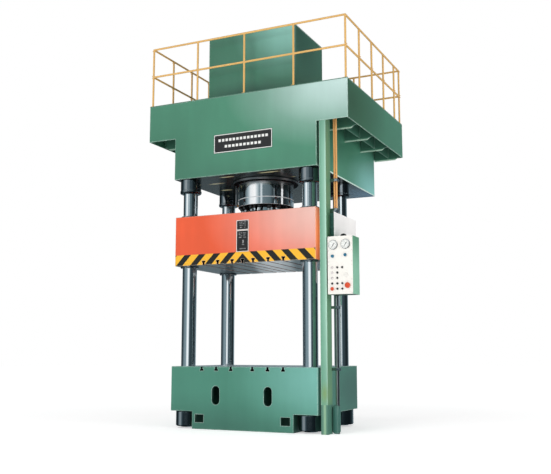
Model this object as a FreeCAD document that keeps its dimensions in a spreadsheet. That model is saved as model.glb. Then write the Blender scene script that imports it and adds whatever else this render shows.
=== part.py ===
import FreeCAD, Part
import math
import os

import Sketcher

# Four-column hydraulic press, millimetres. +X right, +Y to the back, +Z up.
# The origin lies on the floor at the centre of the four columns.

doc = FreeCAD.newDocument("four_column_press")

# ---------------------------------------------------------------- driving dimensions

DIMENSIONS = (
    ("bed_width", 2585, "bed across the column wings"),
    ("foot_gap", 14, "foot inside the column nuts under the wings"),
    ("body_depth", 1750, "bed and crown, front to back at the columns"),
    ("bed_height", 986, "table top above the floor"),
    ("bed_step", 275, "underside of the column wings"),
    ("bed_roof", 130, "thickness left over the bed's cells"),
    ("plate", 50, "outer plate of the bed"),
    ("rib_place", 260, "cross rib of the bed from the centre"),
    ("edge", 6, "chamfer of the welded boxes"),
    ("column_inset", 197.5, "columns from the bed's side"),
    ("nut_gap", 2, "column nuts behind the front plate"),
    ("column_diameter", 240, "ground column"),
    ("thread_step", 5, "threaded column end, smaller all round"),
    ("column_clearance", 15, "column foot above the floor"),
    ("column_tail", 20, "column end past its top nut"),
    ("nut_wall", 73, "round column nut, thread to outside"),
    ("nut_height", 245, "round column nut"),
    ("nut_edge", 14, "chamfer of the nuts"),
    ("collar_wall", 52, "collar nut under the crown"),
    ("collar_lip", 8, "rim at its lower end"),
    ("collar_height", 234, "collar nut under the crown"),
    ("rim_height", 46, "rim at its lower end"),
    ("slot_neck", 36, "T-slot, neck"),
    ("slot_head", 64, "T-slot, head"),
    ("slot_head_height", 28, "T-slot, head"),
    ("slot_depth", 68, "T-slot, whole depth"),
    ("slot_first", 190, "first T-slot from the centre"),
    ("slot_step", 265, "from one T-slot to the next"),
    ("access_width", 140, "oblong hole in the bed"),
    ("access_height", 295, "oblong hole in the bed"),
    ("access_pitch", 920, "the two oblong holes"),
    ("access_level", 535, "their centre above the floor"),
    ("lifting_width", 160, "lifting hole in the bed's foot"),
    ("lifting_height", 125, "lifting hole in the bed's foot"),
    ("lifting_inset", 136, "lifting holes from the foot's side"),
    ("lifting_level", 168, "their centre above the floor"),
    ("crown_lip", 6.5, "crown past the bed on either side"),
    ("crown_gap", 648, "crown above the raised slide"),
    ("crown_height", 1050, "crown, without the deck frame"),
    ("crown_overhang", 1095, "power-unit carrier behind the crown"),
    ("carrier_plate", 30, "plates of the carrier"),
    ("hub_margin", 70, "solid metal round the cylinder in the crown"),
    ("bearer_inset", 100, "tank bearer inside the tank's side"),
    ("bearer_margin", 22, "tank bearer outside the crown's cell"),
    ("fascia_thickness", 15, "front plate of crown and platform"),
    ("platform_overhang", 527, "platform past the crown on either side"),
    ("platform_rise", 710, "lower edge of its skirt above the crown's underside"),
    ("platform_back", 107, "platform behind the carrier"),
    ("deck_rise", 300, "walking surface above the crown"),
    ("deck_thickness", 8, "chequered plate"),
    ("skirt_thickness", 15, "side plates of the platform"),
    ("gusset_thickness", 12, "cross plates under the platform"),
    ("gusset_first", 475, "first gusset behind the front plate"),
    ("gusset_count", 4, "gussets on each side"),
    ("gusset_last", 62, "last gusset before the rear skirt"),
    ("gusset_drop", 45, "gusset below the skirt"),
    ("gusset_toe", 110, "gusset's sloped corner, from the skirt"),
    ("rail_diameter", 33.7, "handrail tube"),
    ("rail_inset", 36, "handrail from the platform's edge"),
    ("rail_top", 1040, "top rail above the deck"),
    ("rail_middle", 540, "middle rail above the deck"),
    ("rail_bays_front", 4, "bays along the front"),
    ("rail_bay_side", 640, "bay along the sides"),
    ("rail_bay_least", 0.4, "shortest last bay, as a share of a bay"),
    ("foot_plate", 60, "square foot of a handrail post"),
    ("foot_plate_thickness", 8, "the same foot"),
    ("bearer_gap", 200, "tank bearer inside the column nuts"),
    ("tank_inset", 275, "oil tank behind the front plate's face"),
    ("tank_setback", 255, "oil tank before the crown's back"),
    ("tank_height", 1158, "oil tank, without its lid"),
    ("tank_wall", 10, "tank plates"),
    ("lid_thickness", 12, "tank lid"),
    ("breather_neck", 80, "filler neck through the lid"),
    ("breather_base", 140, "filler flange on the lid"),
    ("breather_cap", 124, "filler cap"),
    ("breather_height", 112, "filler above the lid"),
    ("breather_dip", 60, "filler neck below the lid"),
    ("filler_inset", 350, "filler from the tank's back"),
    ("slide_inset", 23.5, "slide inside the bed on either side"),
    ("slide_setback", 15, "slide inside the bed, front and back"),
    ("daylight", 1645, "open height between table and raised slide"),
    ("slide_height", 821, "slide"),
    ("slide_floor", 150, "slide's lower plate"),
    ("stroke", 1000, "slide and ram"),
    ("bush_wall", 24, "guide bush"),
    ("bush_length", 260, "guide bush inside the slide"),
    ("bush_lip", 11, "guide bush flange past the bush"),
    ("bush_flange_height", 24, "guide bush flange"),
    ("barrel_diameter", 950, "main cylinder"),
    ("barrel_wall", 120, "wall of the cylinder"),
    ("piston_lip", 30, "piston past the ram"),
    ("ram_gap", 191, "cylinder above the slide"),
    ("gland_height", 130, "cylinder's lower cover"),
    ("spigot_height", 80, "its spigot in the bore"),
    ("shoulder_lip", 80, "cylinder's shoulder under the crown"),
    ("shoulder_height", 55, "the same shoulder"),
    ("lock_nut_height", 110, "cylinder's ring nut on the crown"),
    ("barrel_above", 250, "cylinder above the crown's top"),
    ("spanner_slot", 50, "slots of the ring nut"),
    ("turned_edge", 10, "chamfer of large turned pieces"),
    ("piston_height", 220, "piston"),
    ("piston_clearance", 0.5, "piston to bore"),
    ("head_gap", 20, "oil over the piston"),
    ("oil_way", 300, "passage from the prefill valve into the bore"),
    ("piston_stop", 17, "piston above the gland at the end of the stroke"),
    ("ring_height", 12, "piston ring"),
    ("ring_depth", 9, "its groove"),
    ("flange_wall", 125, "ram flange, ram to outside"),
    ("flange_height", 95, "ram flange on the slide"),
    ("flange_bolts", 16, "screws of the ram flange"),
    ("flange_bolt", 42, "their thread"),
    ("gland_bolts", 16, "screws of the gland"),
    ("gland_bolt", 42, "their thread"),
    ("bolt_gap", 1, "through hole round a screw"),
    ("bolt_bite", 63, "how deep these screws go into their threads"),
    ("flange_lip", 30, "how far the ram flange reaches into the ram's groove"),
    ("flange_split", 2, "gap between the flange's halves"),
    ("foot_lip", 45, "prefill valve, foot on the cylinder past its neck"),
    ("prefill_neck", 450, "prefill valve, neck through deck and tank floor"),
    ("seat_lip", 45, "prefill valve, flange on the tank floor past its neck"),
    ("prefill_cage", 360, "prefill valve, cage in the oil"),
    ("prefill_cap", 420, "prefill valve, cap"),
    ("prefill_plate", 30, "prefill valve, its flanges"),
    ("prefill_height", 400, "prefill valve above the deck"),
    ("prefill_window", 80, "windows of its cage"),
    ("deck_gap", 15, "deck hole round what passes"),
    ("motor_level", 300, "motor axis above the deck"),
    ("motor_behind", 430, "motor axis behind the tank"),
    ("motor_left", 410, "motor frame's left end from the centre"),
    ("motor_length", 560, "motor's ribbed frame"),
    ("motor_diameter", 430, "motor frame under its fins"),
    ("motor_fin", 22, "cooling fin"),
    ("motor_fins", 36, "number of cooling fins"),
    ("motor_rim", 46, "end shield on the drive side"),
    ("cowl_length", 120, "fan cowl"),
    ("terminal_width", 240, "motor's terminal box"),
    ("terminal_height", 130, "motor's terminal box"),
    ("terminal_seat", 15, "terminal box into the frame"),
    ("shield_lip", 18, "end shields past the frame"),
    ("fan_shield", 30, "end shield on the fan side"),
    ("foot_inset", 40, "motor feet from the frame's ends"),
    ("foot_width", 80, "motor foot"),
    ("foot_height", 38, "motor foot"),
    ("foot_pitch", 340, "motor's two feet"),
    ("foot_web", 30, "plate over each foot"),
    ("bell_length", 190, "bell housing between motor and pump"),
    ("bell_diameter", 300, "bell housing"),
    ("bell_rim", 24, "flanges of the bell housing"),
    ("pump_diameter", 236, "pump"),
    ("pump_length", 190, "pump"),
    ("port_block", 240, "pump's port block, square"),
    ("port_length", 90, "pump's port block"),
    ("neck_length", 60, "necks on the port block"),
    ("neck_wall", 14, "necks round their tubes"),
    ("suction_tube", 88, "suction tube"),
    ("pressure_tube", 48, "pressure tube"),
    ("riser_tube", 60, "tube from the valves to the cylinder"),
    ("tube_bend", 70, "bend of these tubes"),
    ("riser_behind", 100, "riser behind the tank"),
    ("riser_level", 205, "tube to the cylinder above the crown"),
    ("pressure_rise", 370, "pressure tube above the motor's axis"),
    ("manifold_left", 1040, "valve block's left side from the centre"),
    ("manifold_width", 380, "valve block"),
    ("manifold_depth", 340, "valve block"),
    ("manifold_height", 250, "valve block"),
    ("manifold_behind", 150, "valve block behind the riser"),
    ("stand_height", 220, "valve block's stand"),
    ("stand_leg", 40, "legs of the stand, square"),
    ("pilot_pitch", 100, "pilot valves"),
    ("pilot_inset", 30, "first pilot valve from the block's front"),
    ("pilot_width", 70, "pilot valve"),
    ("pilot_length", 110, "pilot valve"),
    ("pilot_height", 85, "pilot valve"),
    ("coil_diameter", 60, "pilot valve's coils"),
    ("coil_length", 230, "over both coils"),
    ("fit", 0.3, "clearance round anything turned"),
    ("post_width", 110, "control post, left to right"),
    ("post_depth", 190, "control post, front to back"),
    ("post_gap", 46, "control post from the bed's side"),
    ("post_wall", 8, "control post"),
    ("post_foot", 20, "closed lower end of the post"),
    ("box_width", 402, "control box"),
    ("box_depth", 300, "control box"),
    ("box_height", 882, "control box"),
    ("box_level", 2078, "its underside above the floor"),
    ("box_gap", 24, "control box from the post"),
    ("box_wall", 3, "sheet of the box"),
    ("hanger_height", 80, "brackets between post and box"),
    ("hanger_width", 60, "the same brackets"),
    ("hanger_inset", 120, "the same brackets from the box's ends"),
    ("panel_thickness", 4, "its front panel"),
    ("pipe_diameter", 30, "copper pressure line"),
    ("pipe_pitch", 35, "the two lines"),
    ("pipe_setback", 220, "lines behind the post's front"),
    ("pipe_offset", 56, "first line from the post's side"),
    ("conduit_diameter", 60, "cable conduit under the box"),
    ("conduit_wall", 4, "cable conduit"),
    ("clamp_height", 44, "pipe clamp"),
    ("clamp_depth", 88, "pipe clamp"),
    ("clamp_width", 90, "pipe clamp"),
    ("clamp_arm", 8, "its arm on the post"),
    ("guard_rise", 390, "side guard above the box"),
    ("guard_drop", 640, "side guard below the box's top"),
    ("guard_length", 980, "side guard, front to back"),
    ("guard_sheet", 3, "side guard"),
    ("guard_fold", 30, "folded edge of the guard"),
    ("guard_gap", 24, "side guard from the outer line"),
    ("guard_set", 45, "side guard behind the box's front"),
    ("guard_arm", 40, "arms that hold the guard"),
    ("button_diameter", 30, "push-button head"),
    ("button_stem", 21, "push-button stem"),
    ("button_travel", 4, "push-button"),
    ("button_head", 8, "push-button head"),
    ("button_reach", 26, "push-button stem behind the panel"),
    ("lamp_height", 16, "pilot lamp"),
    ("stop_diameter", 56, "small mushroom button"),
    ("stop_height", 17, "its head"),
    ("stop_travel", 5, "its travel"),
    ("emergency_diameter", 86, "emergency stop"),
    ("emergency_height", 26, "its head"),
    ("emergency_travel", 8, "its travel"),
    ("gauge_diameter", 150, "pressure gauge bezel"),
    ("gauge_depth", 52, "gauge case behind the panel"),
    ("gauge_bezel", 16, "gauge bezel before the panel"),
    ("gauge_rim", 9, "width of the bezel's rim"),
    ("gauge_pin", 4, "pointer's spindle"),
    ("knob_diameter", 50, "knob under a gauge"),
    ("knob_height", 25, "knob under a gauge"),
    ("knob_spindle", 12, "its spindle"),
    ("nameplate_width", 1074, "plate on the crown"),
    ("nameplate_height", 315, "plate on the crown"),
    ("nameplate_rise", 530, "its centre above the crown's underside"),
    ("plate_sheet", 4, "engraved plates"),
    ("data_width", 220, "plates on the slide"),
    ("data_level", 180, "lower plate above the slide's underside"),
    ("data_tall", 348, "lower plate"),
    ("data_short", 161, "upper plate"),
    ("data_gap", 5, "between the two plates"),
    ("seat_margin", 40, "solid seat round the ram flange"),
    ("bore_margin", 55, "solid metal round the slide's column bores"),
)

# What seats on, passes through or lines up with another piece follows from the sizes above.
DERIVED = (
    ("thread_diameter", "column_diameter - 2 * thread_step", "threaded column end"),
    ("nut_diameter", "thread_diameter + 2 * nut_wall", "round column nut"),
    ("collar_diameter", "column_diameter + 2 * collar_wall", "collar nut under the crown"),
    ("collar_rim", "collar_diameter + 2 * collar_lip", "its rim"),
    ("bush_flange", "column_diameter + 2 * (bush_wall + bush_lip)", "guide bush flange"),
    ("column_pitch_x", "bed_width - 2 * column_inset", "columns, left to right"),
    ("column_pitch_y", "body_depth - 2 * (fascia_thickness + nut_gap) - nut_diameter", "front to back"),
    ("bed_foot_width", "column_pitch_x - nut_diameter - 2 * foot_gap", "part that stands on the floor"),
    ("lifting_pitch", "bed_foot_width - 2 * lifting_inset", "the two lifting holes"),
    ("slide_width", "bed_width - 2 * slide_inset", "slide, left to right"),
    ("slide_depth", "body_depth - 2 * slide_setback", "slide, front to back"),
    ("slide_bottom", "bed_height + daylight", "slide underside at the top of its stroke"),
    ("crown_width", "bed_width + 2 * crown_lip", "crown across the columns"),
    ("crown_bottom", "slide_bottom + slide_height + crown_gap", "crown underside above the floor"),
    ("platform_width", "crown_width + 2 * platform_overhang", "platform, left to right"),
    ("platform_bottom", "crown_bottom + platform_rise", "lower edge of its skirt"),
    ("deck_level", "crown_bottom + crown_height + deck_rise", "walking surface above the floor"),
    ("tank_width", "column_pitch_x - nut_diameter - 2 * bearer_gap + 2 * bearer_inset", "oil tank"),
    ("tank_front", "body_depth / 2 - tank_inset", "oil tank before the centre"),
    ("tank_depth", "body_depth - tank_inset - tank_setback", "oil tank, front to back"),
    ("bore_diameter", "barrel_diameter - 2 * barrel_wall", "main cylinder's bore"),
    ("ram_diameter", "bore_diameter - 2 * piston_lip", "ram"),
    ("flange_diameter", "ram_diameter + 2 * flange_wall", "ram flange on the slide"),
    ("shoulder_diameter", "barrel_diameter + 2 * shoulder_lip", "shoulder under the crown"),
    ("prefill_foot", "prefill_neck + 2 * foot_lip", "prefill valve, foot on the cylinder"),
    ("prefill_seat", "prefill_neck + 2 * seat_lip", "prefill valve, flange on the tank floor"),
    ("guard_top", "box_level + box_height + guard_rise", "side guard, upper edge"),
    ("guard_bottom", "box_level + box_height - guard_drop", "side guard, lower edge"),
    ("nameplate_level", "crown_bottom + nameplate_rise", "centre of the crown's plate"),
)

sheet = doc.addObject("Spreadsheet::Sheet", "Size")
formulas = [(alias, "=" + formula, meaning) for alias, formula, meaning in DERIVED]
for row, (alias, value, meaning) in enumerate(DIMENSIONS + tuple(formulas), start=1):
    sheet.set("A%d" % row, meaning)
    sheet.set("B%d" % row, str(value))
    sheet.setAlias("B%d" % row, alias)
doc.recompute()

# ---------------------------------------------------------------- helpers

sub_parts = []


def number(expression):
    """The value that an expression has in the sheet."""
    return float(sheet.evalExpression(str(expression)))


def bind(owner, name, expression):
    """Tie a property of an object to an expression."""
    owner.setExpression(name, str(expression))


def register(made, label):
    """Give a finished object the label that names its file."""
    made.Label = label
    sub_parts.append(made)
    return made


def place(made, spot, turn=None):
    """Move an object to a spot given by three expressions, after a fixed turn."""
    if turn:
        axis, angle = turn
        rotation = FreeCAD.Rotation(FreeCAD.Vector(*axis), angle)
        made.Placement = FreeCAD.Placement(FreeCAD.Vector(), rotation)
    for axis_name, expression in zip("xyz", spot):
        bind(made, "Placement.Base." + axis_name, expression)
    return made


FRONT = ((1, 0, 0), 90)      # turns an upright piece to face the front
RIGHT = ((0, 1, 0), 90)      # turns an upright piece to point right
BACK = ((1, 0, 0), -90)      # turns an upright piece to point to the back
UPSIDE_DOWN = ((1, 0, 0), 180)


def new_body(name):
    return doc.addObject("PartDesign::Body", name)


def new_sketch(body, role, offset=None):
    """A sketch on one of the body's own planes, shifted along the plane's normal."""
    plane = next(each for each in body.Origin.OriginFeatures if each.Role == role)
    sketch = body.newObject("Sketcher::SketchObject", body.Name + "_sketch")
    sketch.AttachmentSupport = (plane, [""])
    sketch.MapMode = "FlatFace"
    if offset is not None:
        bind(sketch, "AttachmentOffset.Base.z", offset)
    return sketch


def tie(sketch, kind, element, point, expression):
    """Fix a point's distance from the sketch's origin by an expression."""
    index = sketch.addConstraint(Sketcher.Constraint(kind, -1, 1, element, point, number(expression)))
    sketch.setExpression("Constraints[%d]" % index, str(expression))


def draw_outline(sketch, corners):
    """A closed outline through corners, each a pair of expressions."""
    first = sketch.GeometryCount
    points = [FreeCAD.Vector(number(across), number(up), 0) for across, up in corners]
    for index, point in enumerate(points):
        sketch.addGeometry(Part.LineSegment(point, points[(index + 1) % len(points)]), False)
    for index, (across, up) in enumerate(corners):
        before = first + (index - 1) % len(corners)
        sketch.addConstraint(Sketcher.Constraint("Coincident", before, 2, first + index, 1))
        tie(sketch, "DistanceX", first + index, 1, across)
        tie(sketch, "DistanceY", first + index, 1, up)


def draw_rectangle(sketch, left, right, low, high):
    draw_outline(sketch, [(left, low), (right, low), (right, high), (left, high)])


def draw_circle(sketch, across, up, radius):
    centre = FreeCAD.Vector(number(across), number(up), 0)
    index = sketch.addGeometry(Part.Circle(centre, FreeCAD.Vector(0, 0, 1), number(radius)), False)
    tie(sketch, "DistanceX", index, 3, across)
    tie(sketch, "DistanceY", index, 3, up)
    size = sketch.addConstraint(Sketcher.Constraint("Radius", index, number(radius)))
    sketch.setExpression("Constraints[%d]" % size, str(radius))


def draw_oblong(sketch, across, low, high, radius):
    """An upright slot with round ends, between the centres of its two ends."""
    x, bottom, top, size = number(across), number(low), number(high), number(radius)
    normal = FreeCAD.Vector(0, 0, 1)
    upper = Part.Circle(FreeCAD.Vector(x, top, 0), normal, size)
    lower = Part.Circle(FreeCAD.Vector(x, bottom, 0), normal, size)
    over = sketch.addGeometry(Part.ArcOfCircle(upper, 0, math.pi), False)
    under = sketch.addGeometry(Part.ArcOfCircle(lower, math.pi, 2 * math.pi), False)
    for arc, up in ((over, high), (under, low)):
        tie(sketch, "DistanceX", arc, 3, across)
        tie(sketch, "DistanceY", arc, 3, up)
    left = Part.LineSegment(FreeCAD.Vector(x - size, top, 0), FreeCAD.Vector(x - size, bottom, 0))
    right = Part.LineSegment(FreeCAD.Vector(x + size, bottom, 0), FreeCAD.Vector(x + size, top, 0))
    left_side = sketch.addGeometry(left, False)
    right_side = sketch.addGeometry(right, False)
    sketch.addConstraint(Sketcher.Constraint("Tangent", over, 2, left_side, 1))
    sketch.addConstraint(Sketcher.Constraint("Tangent", left_side, 2, under, 1))
    sketch.addConstraint(Sketcher.Constraint("Tangent", under, 2, right_side, 1))
    sketch.addConstraint(Sketcher.Constraint("Tangent", right_side, 2, over, 1))
    width = sketch.addConstraint(Sketcher.Constraint("Radius", over, size))
    sketch.setExpression("Constraints[%d]" % width, str(radius))


def extrude(body, kind, sketch, length, reverse):
    """A Pad or Pocket of a sketch, as long as an expression says."""
    feature = body.newObject("PartDesign::" + kind, body.Name + "_" + kind.lower())
    feature.Profile = sketch
    bind(feature, "Length", length)
    feature.Reversed = reverse
    sketch.Visibility = False
    body.Tip = feature
    doc.recompute()
    return feature


def pad(body, sketch, length, reverse=False):
    return extrude(body, "Pad", sketch, length, reverse)


def pocket(body, sketch, length, reverse=False):
    """Cut a sketch out of the body and make sure that something went."""
    doc.recompute()
    before = body.Shape.Volume
    made = extrude(body, "Pocket", sketch, length, reverse)
    if body.Shape.Volume > before - 1:
        raise ValueError("nothing was cut from " + body.Name)
    return made


def chamfer(body, feature, edges, size):
    """Chamfer edges of a feature, given by their names."""
    made = body.newObject("PartDesign::Chamfer", body.Name + "_chamfer")
    made.Base = (feature, edges)
    bind(made, "Size", size)
    body.Tip = made
    doc.recompute()
    return made


def polar_pocket(body, sketch, length, count, reverse=False):
    """A Pocket repeated round the sketch's origin."""
    first = pocket(body, sketch, length, reverse)
    pattern = body.newObject("PartDesign::PolarPattern", body.Name + "_pattern")
    pattern.Originals = [first]
    pattern.Axis = (sketch, ["N_Axis"])
    pattern.Angle = 360
    bind(pattern, "Occurrences", count)
    body.Tip = pattern
    doc.recompute()
    return pattern


def edges_in_plane(shape, axis, level):
    """Names of the straight edges of a shape that lie in a plane across an axis."""
    found = []
    for index, line in enumerate(shape.Edges, start=1):
        straight = line.Curve.TypeId == "Part::GeomLine"
        flat = all(abs(getattr(end.Point, axis) - level) < 0.01 for end in line.Vertexes)
        if straight and flat:
            found.append("Edge%d" % index)
    return found


def turned(name, profile, spot=("0", "0", "0"), turn=None):
    """A turned piece: its profile of radius and height pairs goes round the upright axis."""
    body = new_body(name)
    sketch = new_sketch(body, "XZ_Plane")
    draw_outline(sketch, profile)
    revolution = body.newObject("PartDesign::Revolution", name + "_revolution")
    revolution.Profile = sketch
    revolution.ReferenceAxis = (sketch, ["V_Axis"])
    revolution.Angle = 360
    sketch.Visibility = False
    body.Tip = revolution
    return place(body, spot, turn)


def ring_profile(inner, outer, low, high):
    return [(inner, low), (outer, low), (outer, high), (inner, high)]


def box(name, low, high):
    """A block between two corners, each of three expressions."""
    made = doc.addObject("Part::Box", name)
    for side, start, end in zip(("Length", "Width", "Height"), low, high):
        bind(made, side, "(%s) - (%s)" % (end, start))
    return place(made, low)


def rod(name, radius, length, spot, turn=None):
    """A round bar that starts at a spot and stands up, or is turned."""
    made = doc.addObject("Part::Cylinder", name)
    bind(made, "Radius", radius)
    bind(made, "Height", length)
    return place(made, spot, turn)


def fuse(name, shapes):
    made = doc.addObject("Part::MultiFuse", name)
    made.Shapes = shapes
    made.Refine = True
    return made


def cut(name, base, tools):
    tool = tools[0] if len(tools) == 1 else fuse(name + "_tools", tools)
    made = doc.addObject("Part::Cut", name)
    made.Base = base
    made.Tool = tool
    return made


def group(name, pieces):
    """Like pieces that share one file."""
    made = doc.addObject("Part::Compound", name)
    made.Links = pieces
    return made


# ---------------------------------------------------------------- levels and places

column_radius = "Size.column_diameter / 2"
column_bore = "Size.column_diameter / 2 + Size.fit"
thread_radius = "Size.thread_diameter / 2"
half_depth = "Size.body_depth / 2"
front = "(-Size.body_depth / 2)"
behind_fascia = "(-Size.body_depth / 2 + Size.fascia_thickness)"
crown_top = "(Size.crown_bottom + Size.crown_height)"
carrier_back = "(Size.body_depth / 2 + Size.crown_overhang)"
platform_rear = "(Size.body_depth / 2 + Size.crown_overhang + Size.platform_back)"
platform_side = "Size.platform_width / 2"
under_deck = "(Size.deck_level - Size.deck_thickness)"
slide_top = "(Size.slide_bottom + Size.slide_height)"
barrel_bottom = "(Size.slide_bottom + Size.slide_height + Size.ram_gap)"
gland_top = barrel_bottom + " + Size.gland_height"
barrel_top = crown_top + " + Size.barrel_above"

column_places = [(side, row) for row in (-1, 1) for side in (-1, 1)]


def column_spot(side, row, level):
    return ("%d * Size.column_pitch_x / 2" % side, "%d * Size.column_pitch_y / 2" % row, level)


def slot_outline(across, mouth, inward):
    """A T-slot's section: neck at the mouth, head below it; inward is -1 down, 1 up."""
    neck, head = "Size.slot_neck / 2", "Size.slot_head / 2"
    shelf = "%s + %d * (Size.slot_depth - Size.slot_head_height)" % (mouth, inward)
    floor = "%s + %d * Size.slot_depth" % (mouth, inward)
    half = [(neck, mouth), (neck, shelf), (head, shelf), (head, floor)]
    right = [("(%s) + %s" % (across, reach), up) for reach, up in half]
    left = [("(%s) - %s" % (across, reach), up) for reach, up in reversed(half)]
    return right + left


def on_circle(radius, step, count):
    """One of the equal places on a circle round the upright axis, half a step off X."""
    angle = "((%d + 0.5) * 360 / %s * 1 deg)" % (step, count)
    return "(%s) * cos%s" % (radius, angle), "(%s) * sin%s" % (radius, angle)


slot_places = ["%d * (Size.slot_first + %d * Size.slot_step)" % (side, step)
               for side in (-1, 1) for step in range(3)]

# ---------------------------------------------------------------- bed

# The bed is a welded box. Its wings hold the columns, its foot stands on the floor.
bed = new_body("base_bed")
outline = new_sketch(bed, "XZ_Plane", half_depth)
wing, foot_half = "Size.bed_width / 2", "Size.bed_foot_width / 2"
bed_corners = [
    (foot_half, "0"),
    (foot_half, "Size.bed_step"),
    (wing, "Size.bed_step"),
    (wing, "Size.bed_height"),
]
draw_outline(outline, bed_corners + [("-" + across, up) for across, up in reversed(bed_corners)])
block = pad(bed, outline, "Size.body_depth", reverse=True)
chamfer(bed, block, edges_in_plane(block.Shape, "y", -number(half_depth)), "Size.edge")

cells = new_sketch(bed, "XY_Plane")
bed_inner = "%s - Size.plate" % half_depth
for side in (-1, 1):
    for row in (-1, 1):
        rib_half = "Size.plate / 2"
        for near, far in ((rib_half, "Size.rib_place - %s" % rib_half),
                          ("Size.rib_place + %s" % rib_half, "%s - Size.plate" % foot_half)):
            draw_rectangle(cells, "%d * (%s)" % (side, near), "%d * (%s)" % (side, far),
                           "%d * (%s)" % (row, rib_half), "%d * (%s)" % (row, bed_inner))
pocket(bed, cells, "Size.bed_height - Size.bed_roof", reverse=True)

table_slots = new_sketch(bed, "XZ_Plane", half_depth)
for slot_place in slot_places:
    draw_outline(table_slots, slot_outline(slot_place, "Size.bed_height", -1))
pocket(bed, table_slots, "Size.body_depth")

holes = new_sketch(bed, "XZ_Plane", half_depth)
access_radius = "Size.access_width / 2"
access_reach = "(Size.access_height - Size.access_width) / 2"
lifting_low = "Size.lifting_level - Size.lifting_height / 2"
for side in (-1, 1):
    draw_oblong(holes, "%d * Size.access_pitch / 2" % side, "Size.access_level - " + access_reach,
                "Size.access_level + " + access_reach, access_radius)
    lifting = "%d * Size.lifting_pitch / 2" % side
    draw_rectangle(holes, lifting + " - Size.lifting_width / 2", lifting + " + Size.lifting_width / 2",
                   lifting_low, lifting_low + " + Size.lifting_height")
pocket(bed, holes, "Size.body_depth")

bed_bores = new_sketch(bed, "XY_Plane")
for side, row in column_places:
    across, along, _ = column_spot(side, row, "0")
    draw_circle(bed_bores, across, along, column_bore)
pocket(bed, bed_bores, "Size.bed_height", reverse=True)
register(bed, "base_bed")

# ---------------------------------------------------------------- columns and their nuts

# Each column is ground bar with a threaded, stepped-down end in a round nut at either end.
column_start = "Size.column_clearance"
column_end = crown_top + " + Size.nut_height + Size.column_tail"
column_profile = [
    ("0", column_start),
    (thread_radius + " - Size.nut_edge", column_start),
    (thread_radius, column_start + " + Size.nut_edge"),
    (thread_radius, "Size.bed_step"),
    (column_radius, "Size.bed_step"),
    (column_radius, crown_top),
    (thread_radius, crown_top),
    (thread_radius, column_end + " - Size.nut_edge"),
    (thread_radius + " - Size.nut_edge", column_end),
    ("0", column_end),
]
columns = [turned("column", column_profile, column_spot(side, row, "0")) for side, row in column_places]
register(group("columns_group", columns), "columns")

nut_bore, nut_radius = thread_radius + " + Size.fit", "Size.nut_diameter / 2"
nut_profile = [
    (nut_bore, "0"),
    (nut_radius + " - Size.nut_edge", "0"),
    (nut_radius, "Size.nut_edge"),
    (nut_radius, "Size.nut_height - Size.nut_edge"),
    (nut_radius + " - Size.nut_edge", "Size.nut_height"),
    (nut_bore, "Size.nut_height"),
]
nuts = []
for level in ("Size.bed_step - Size.nut_height", crown_top):
    nuts += [turned("nut", nut_profile, column_spot(side, row, level)) for side, row in column_places]
register(group("nuts_group", nuts), "column_nuts")

# The collar nuts clamp the crown from below; each has a rounded rim at its lower end.
rim_radius, collar_radius = "Size.collar_rim / 2", "Size.collar_diameter / 2"
collar_profile = [
    (column_bore, "0"),
    (rim_radius + " - 1.5 * Size.nut_edge", "0"),
    (rim_radius + " - 0.4 * Size.nut_edge", "0.5 * Size.nut_edge"),
    (rim_radius, "1.5 * Size.nut_edge"),
    (rim_radius, "Size.rim_height"),
    (collar_radius, "Size.rim_height + (Size.collar_rim - Size.collar_diameter) / 2"),
    (collar_radius, "Size.collar_height"),
    (column_bore, "Size.collar_height"),
]
collar_level = "Size.crown_bottom - Size.collar_height"
collars = [turned("collar", collar_profile, column_spot(side, row, collar_level))
           for side, row in column_places]
register(group("collars_group", collars), "crown_collar_nuts")

# ---------------------------------------------------------------- crown

# The crown is a welded box with a higher carrier for the power unit behind it, and two
# bearers for the oil tank on its top. Its cells are closed from above by the deck.
crown = new_body("crown_beam")
side_view = new_sketch(crown, "YZ_Plane", "-Size.crown_width / 2")
draw_outline(side_view, [
    (behind_fascia, "Size.crown_bottom"),
    (carrier_back, "Size.crown_bottom"),
    (carrier_back, under_deck),
    (half_depth, under_deck),
    (half_depth, crown_top),
    (behind_fascia, crown_top),
])
pad(crown, side_view, "Size.crown_width")

bearer_place = "(Size.tank_width / 2 - Size.bearer_inset)"
bearers = new_sketch(crown, "XY_Plane", crown_top)
for side in (-1, 1):
    draw_rectangle(bearers, "%d * %s - Size.skirt_thickness / 2" % (side, bearer_place),
                   "%d * %s + Size.skirt_thickness / 2" % (side, bearer_place), behind_fascia, half_depth)
pad(crown, bearers, under_deck + " - " + crown_top)

hub = "(Size.barrel_diameter / 2 + Size.hub_margin)"
cell_end = "(%s - Size.plate - Size.fascia_thickness)" % half_depth
crown_cells = new_sketch(crown, "XY_Plane", crown_top)
for side in (-1, 1):
    beside_bearer = "%d * (%s - Size.bearer_margin)" % (side, bearer_place)
    draw_rectangle(crown_cells, "%d * %s" % (side, hub), beside_bearer,
                   behind_fascia + " + Size.plate", half_depth + " - Size.plate")
    draw_rectangle(crown_cells, "-%s + Size.plate" % hub, "%s - Size.plate" % hub,
                   "%d * %s" % (side, hub), "%d * %s" % (side, cell_end))
pocket(crown, crown_cells, "Size.crown_height - Size.plate")

carrier_cells = new_sketch(crown, "XY_Plane", under_deck)
carrier_side = "(Size.crown_width / 2 - Size.carrier_plate)"
cell_width = "((2 * %s - 2 * Size.carrier_plate) / 3)" % carrier_side
for step in range(3):
    left = "%d * (%s + Size.carrier_plate) - %s" % (step, cell_width, carrier_side)
    draw_rectangle(carrier_cells, left, "%s + %s" % (left, cell_width), half_depth + " + Size.carrier_plate",
                   carrier_back + " - Size.carrier_plate")
pocket(crown, carrier_cells, under_deck + " - Size.crown_bottom - Size.carrier_plate")

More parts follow.
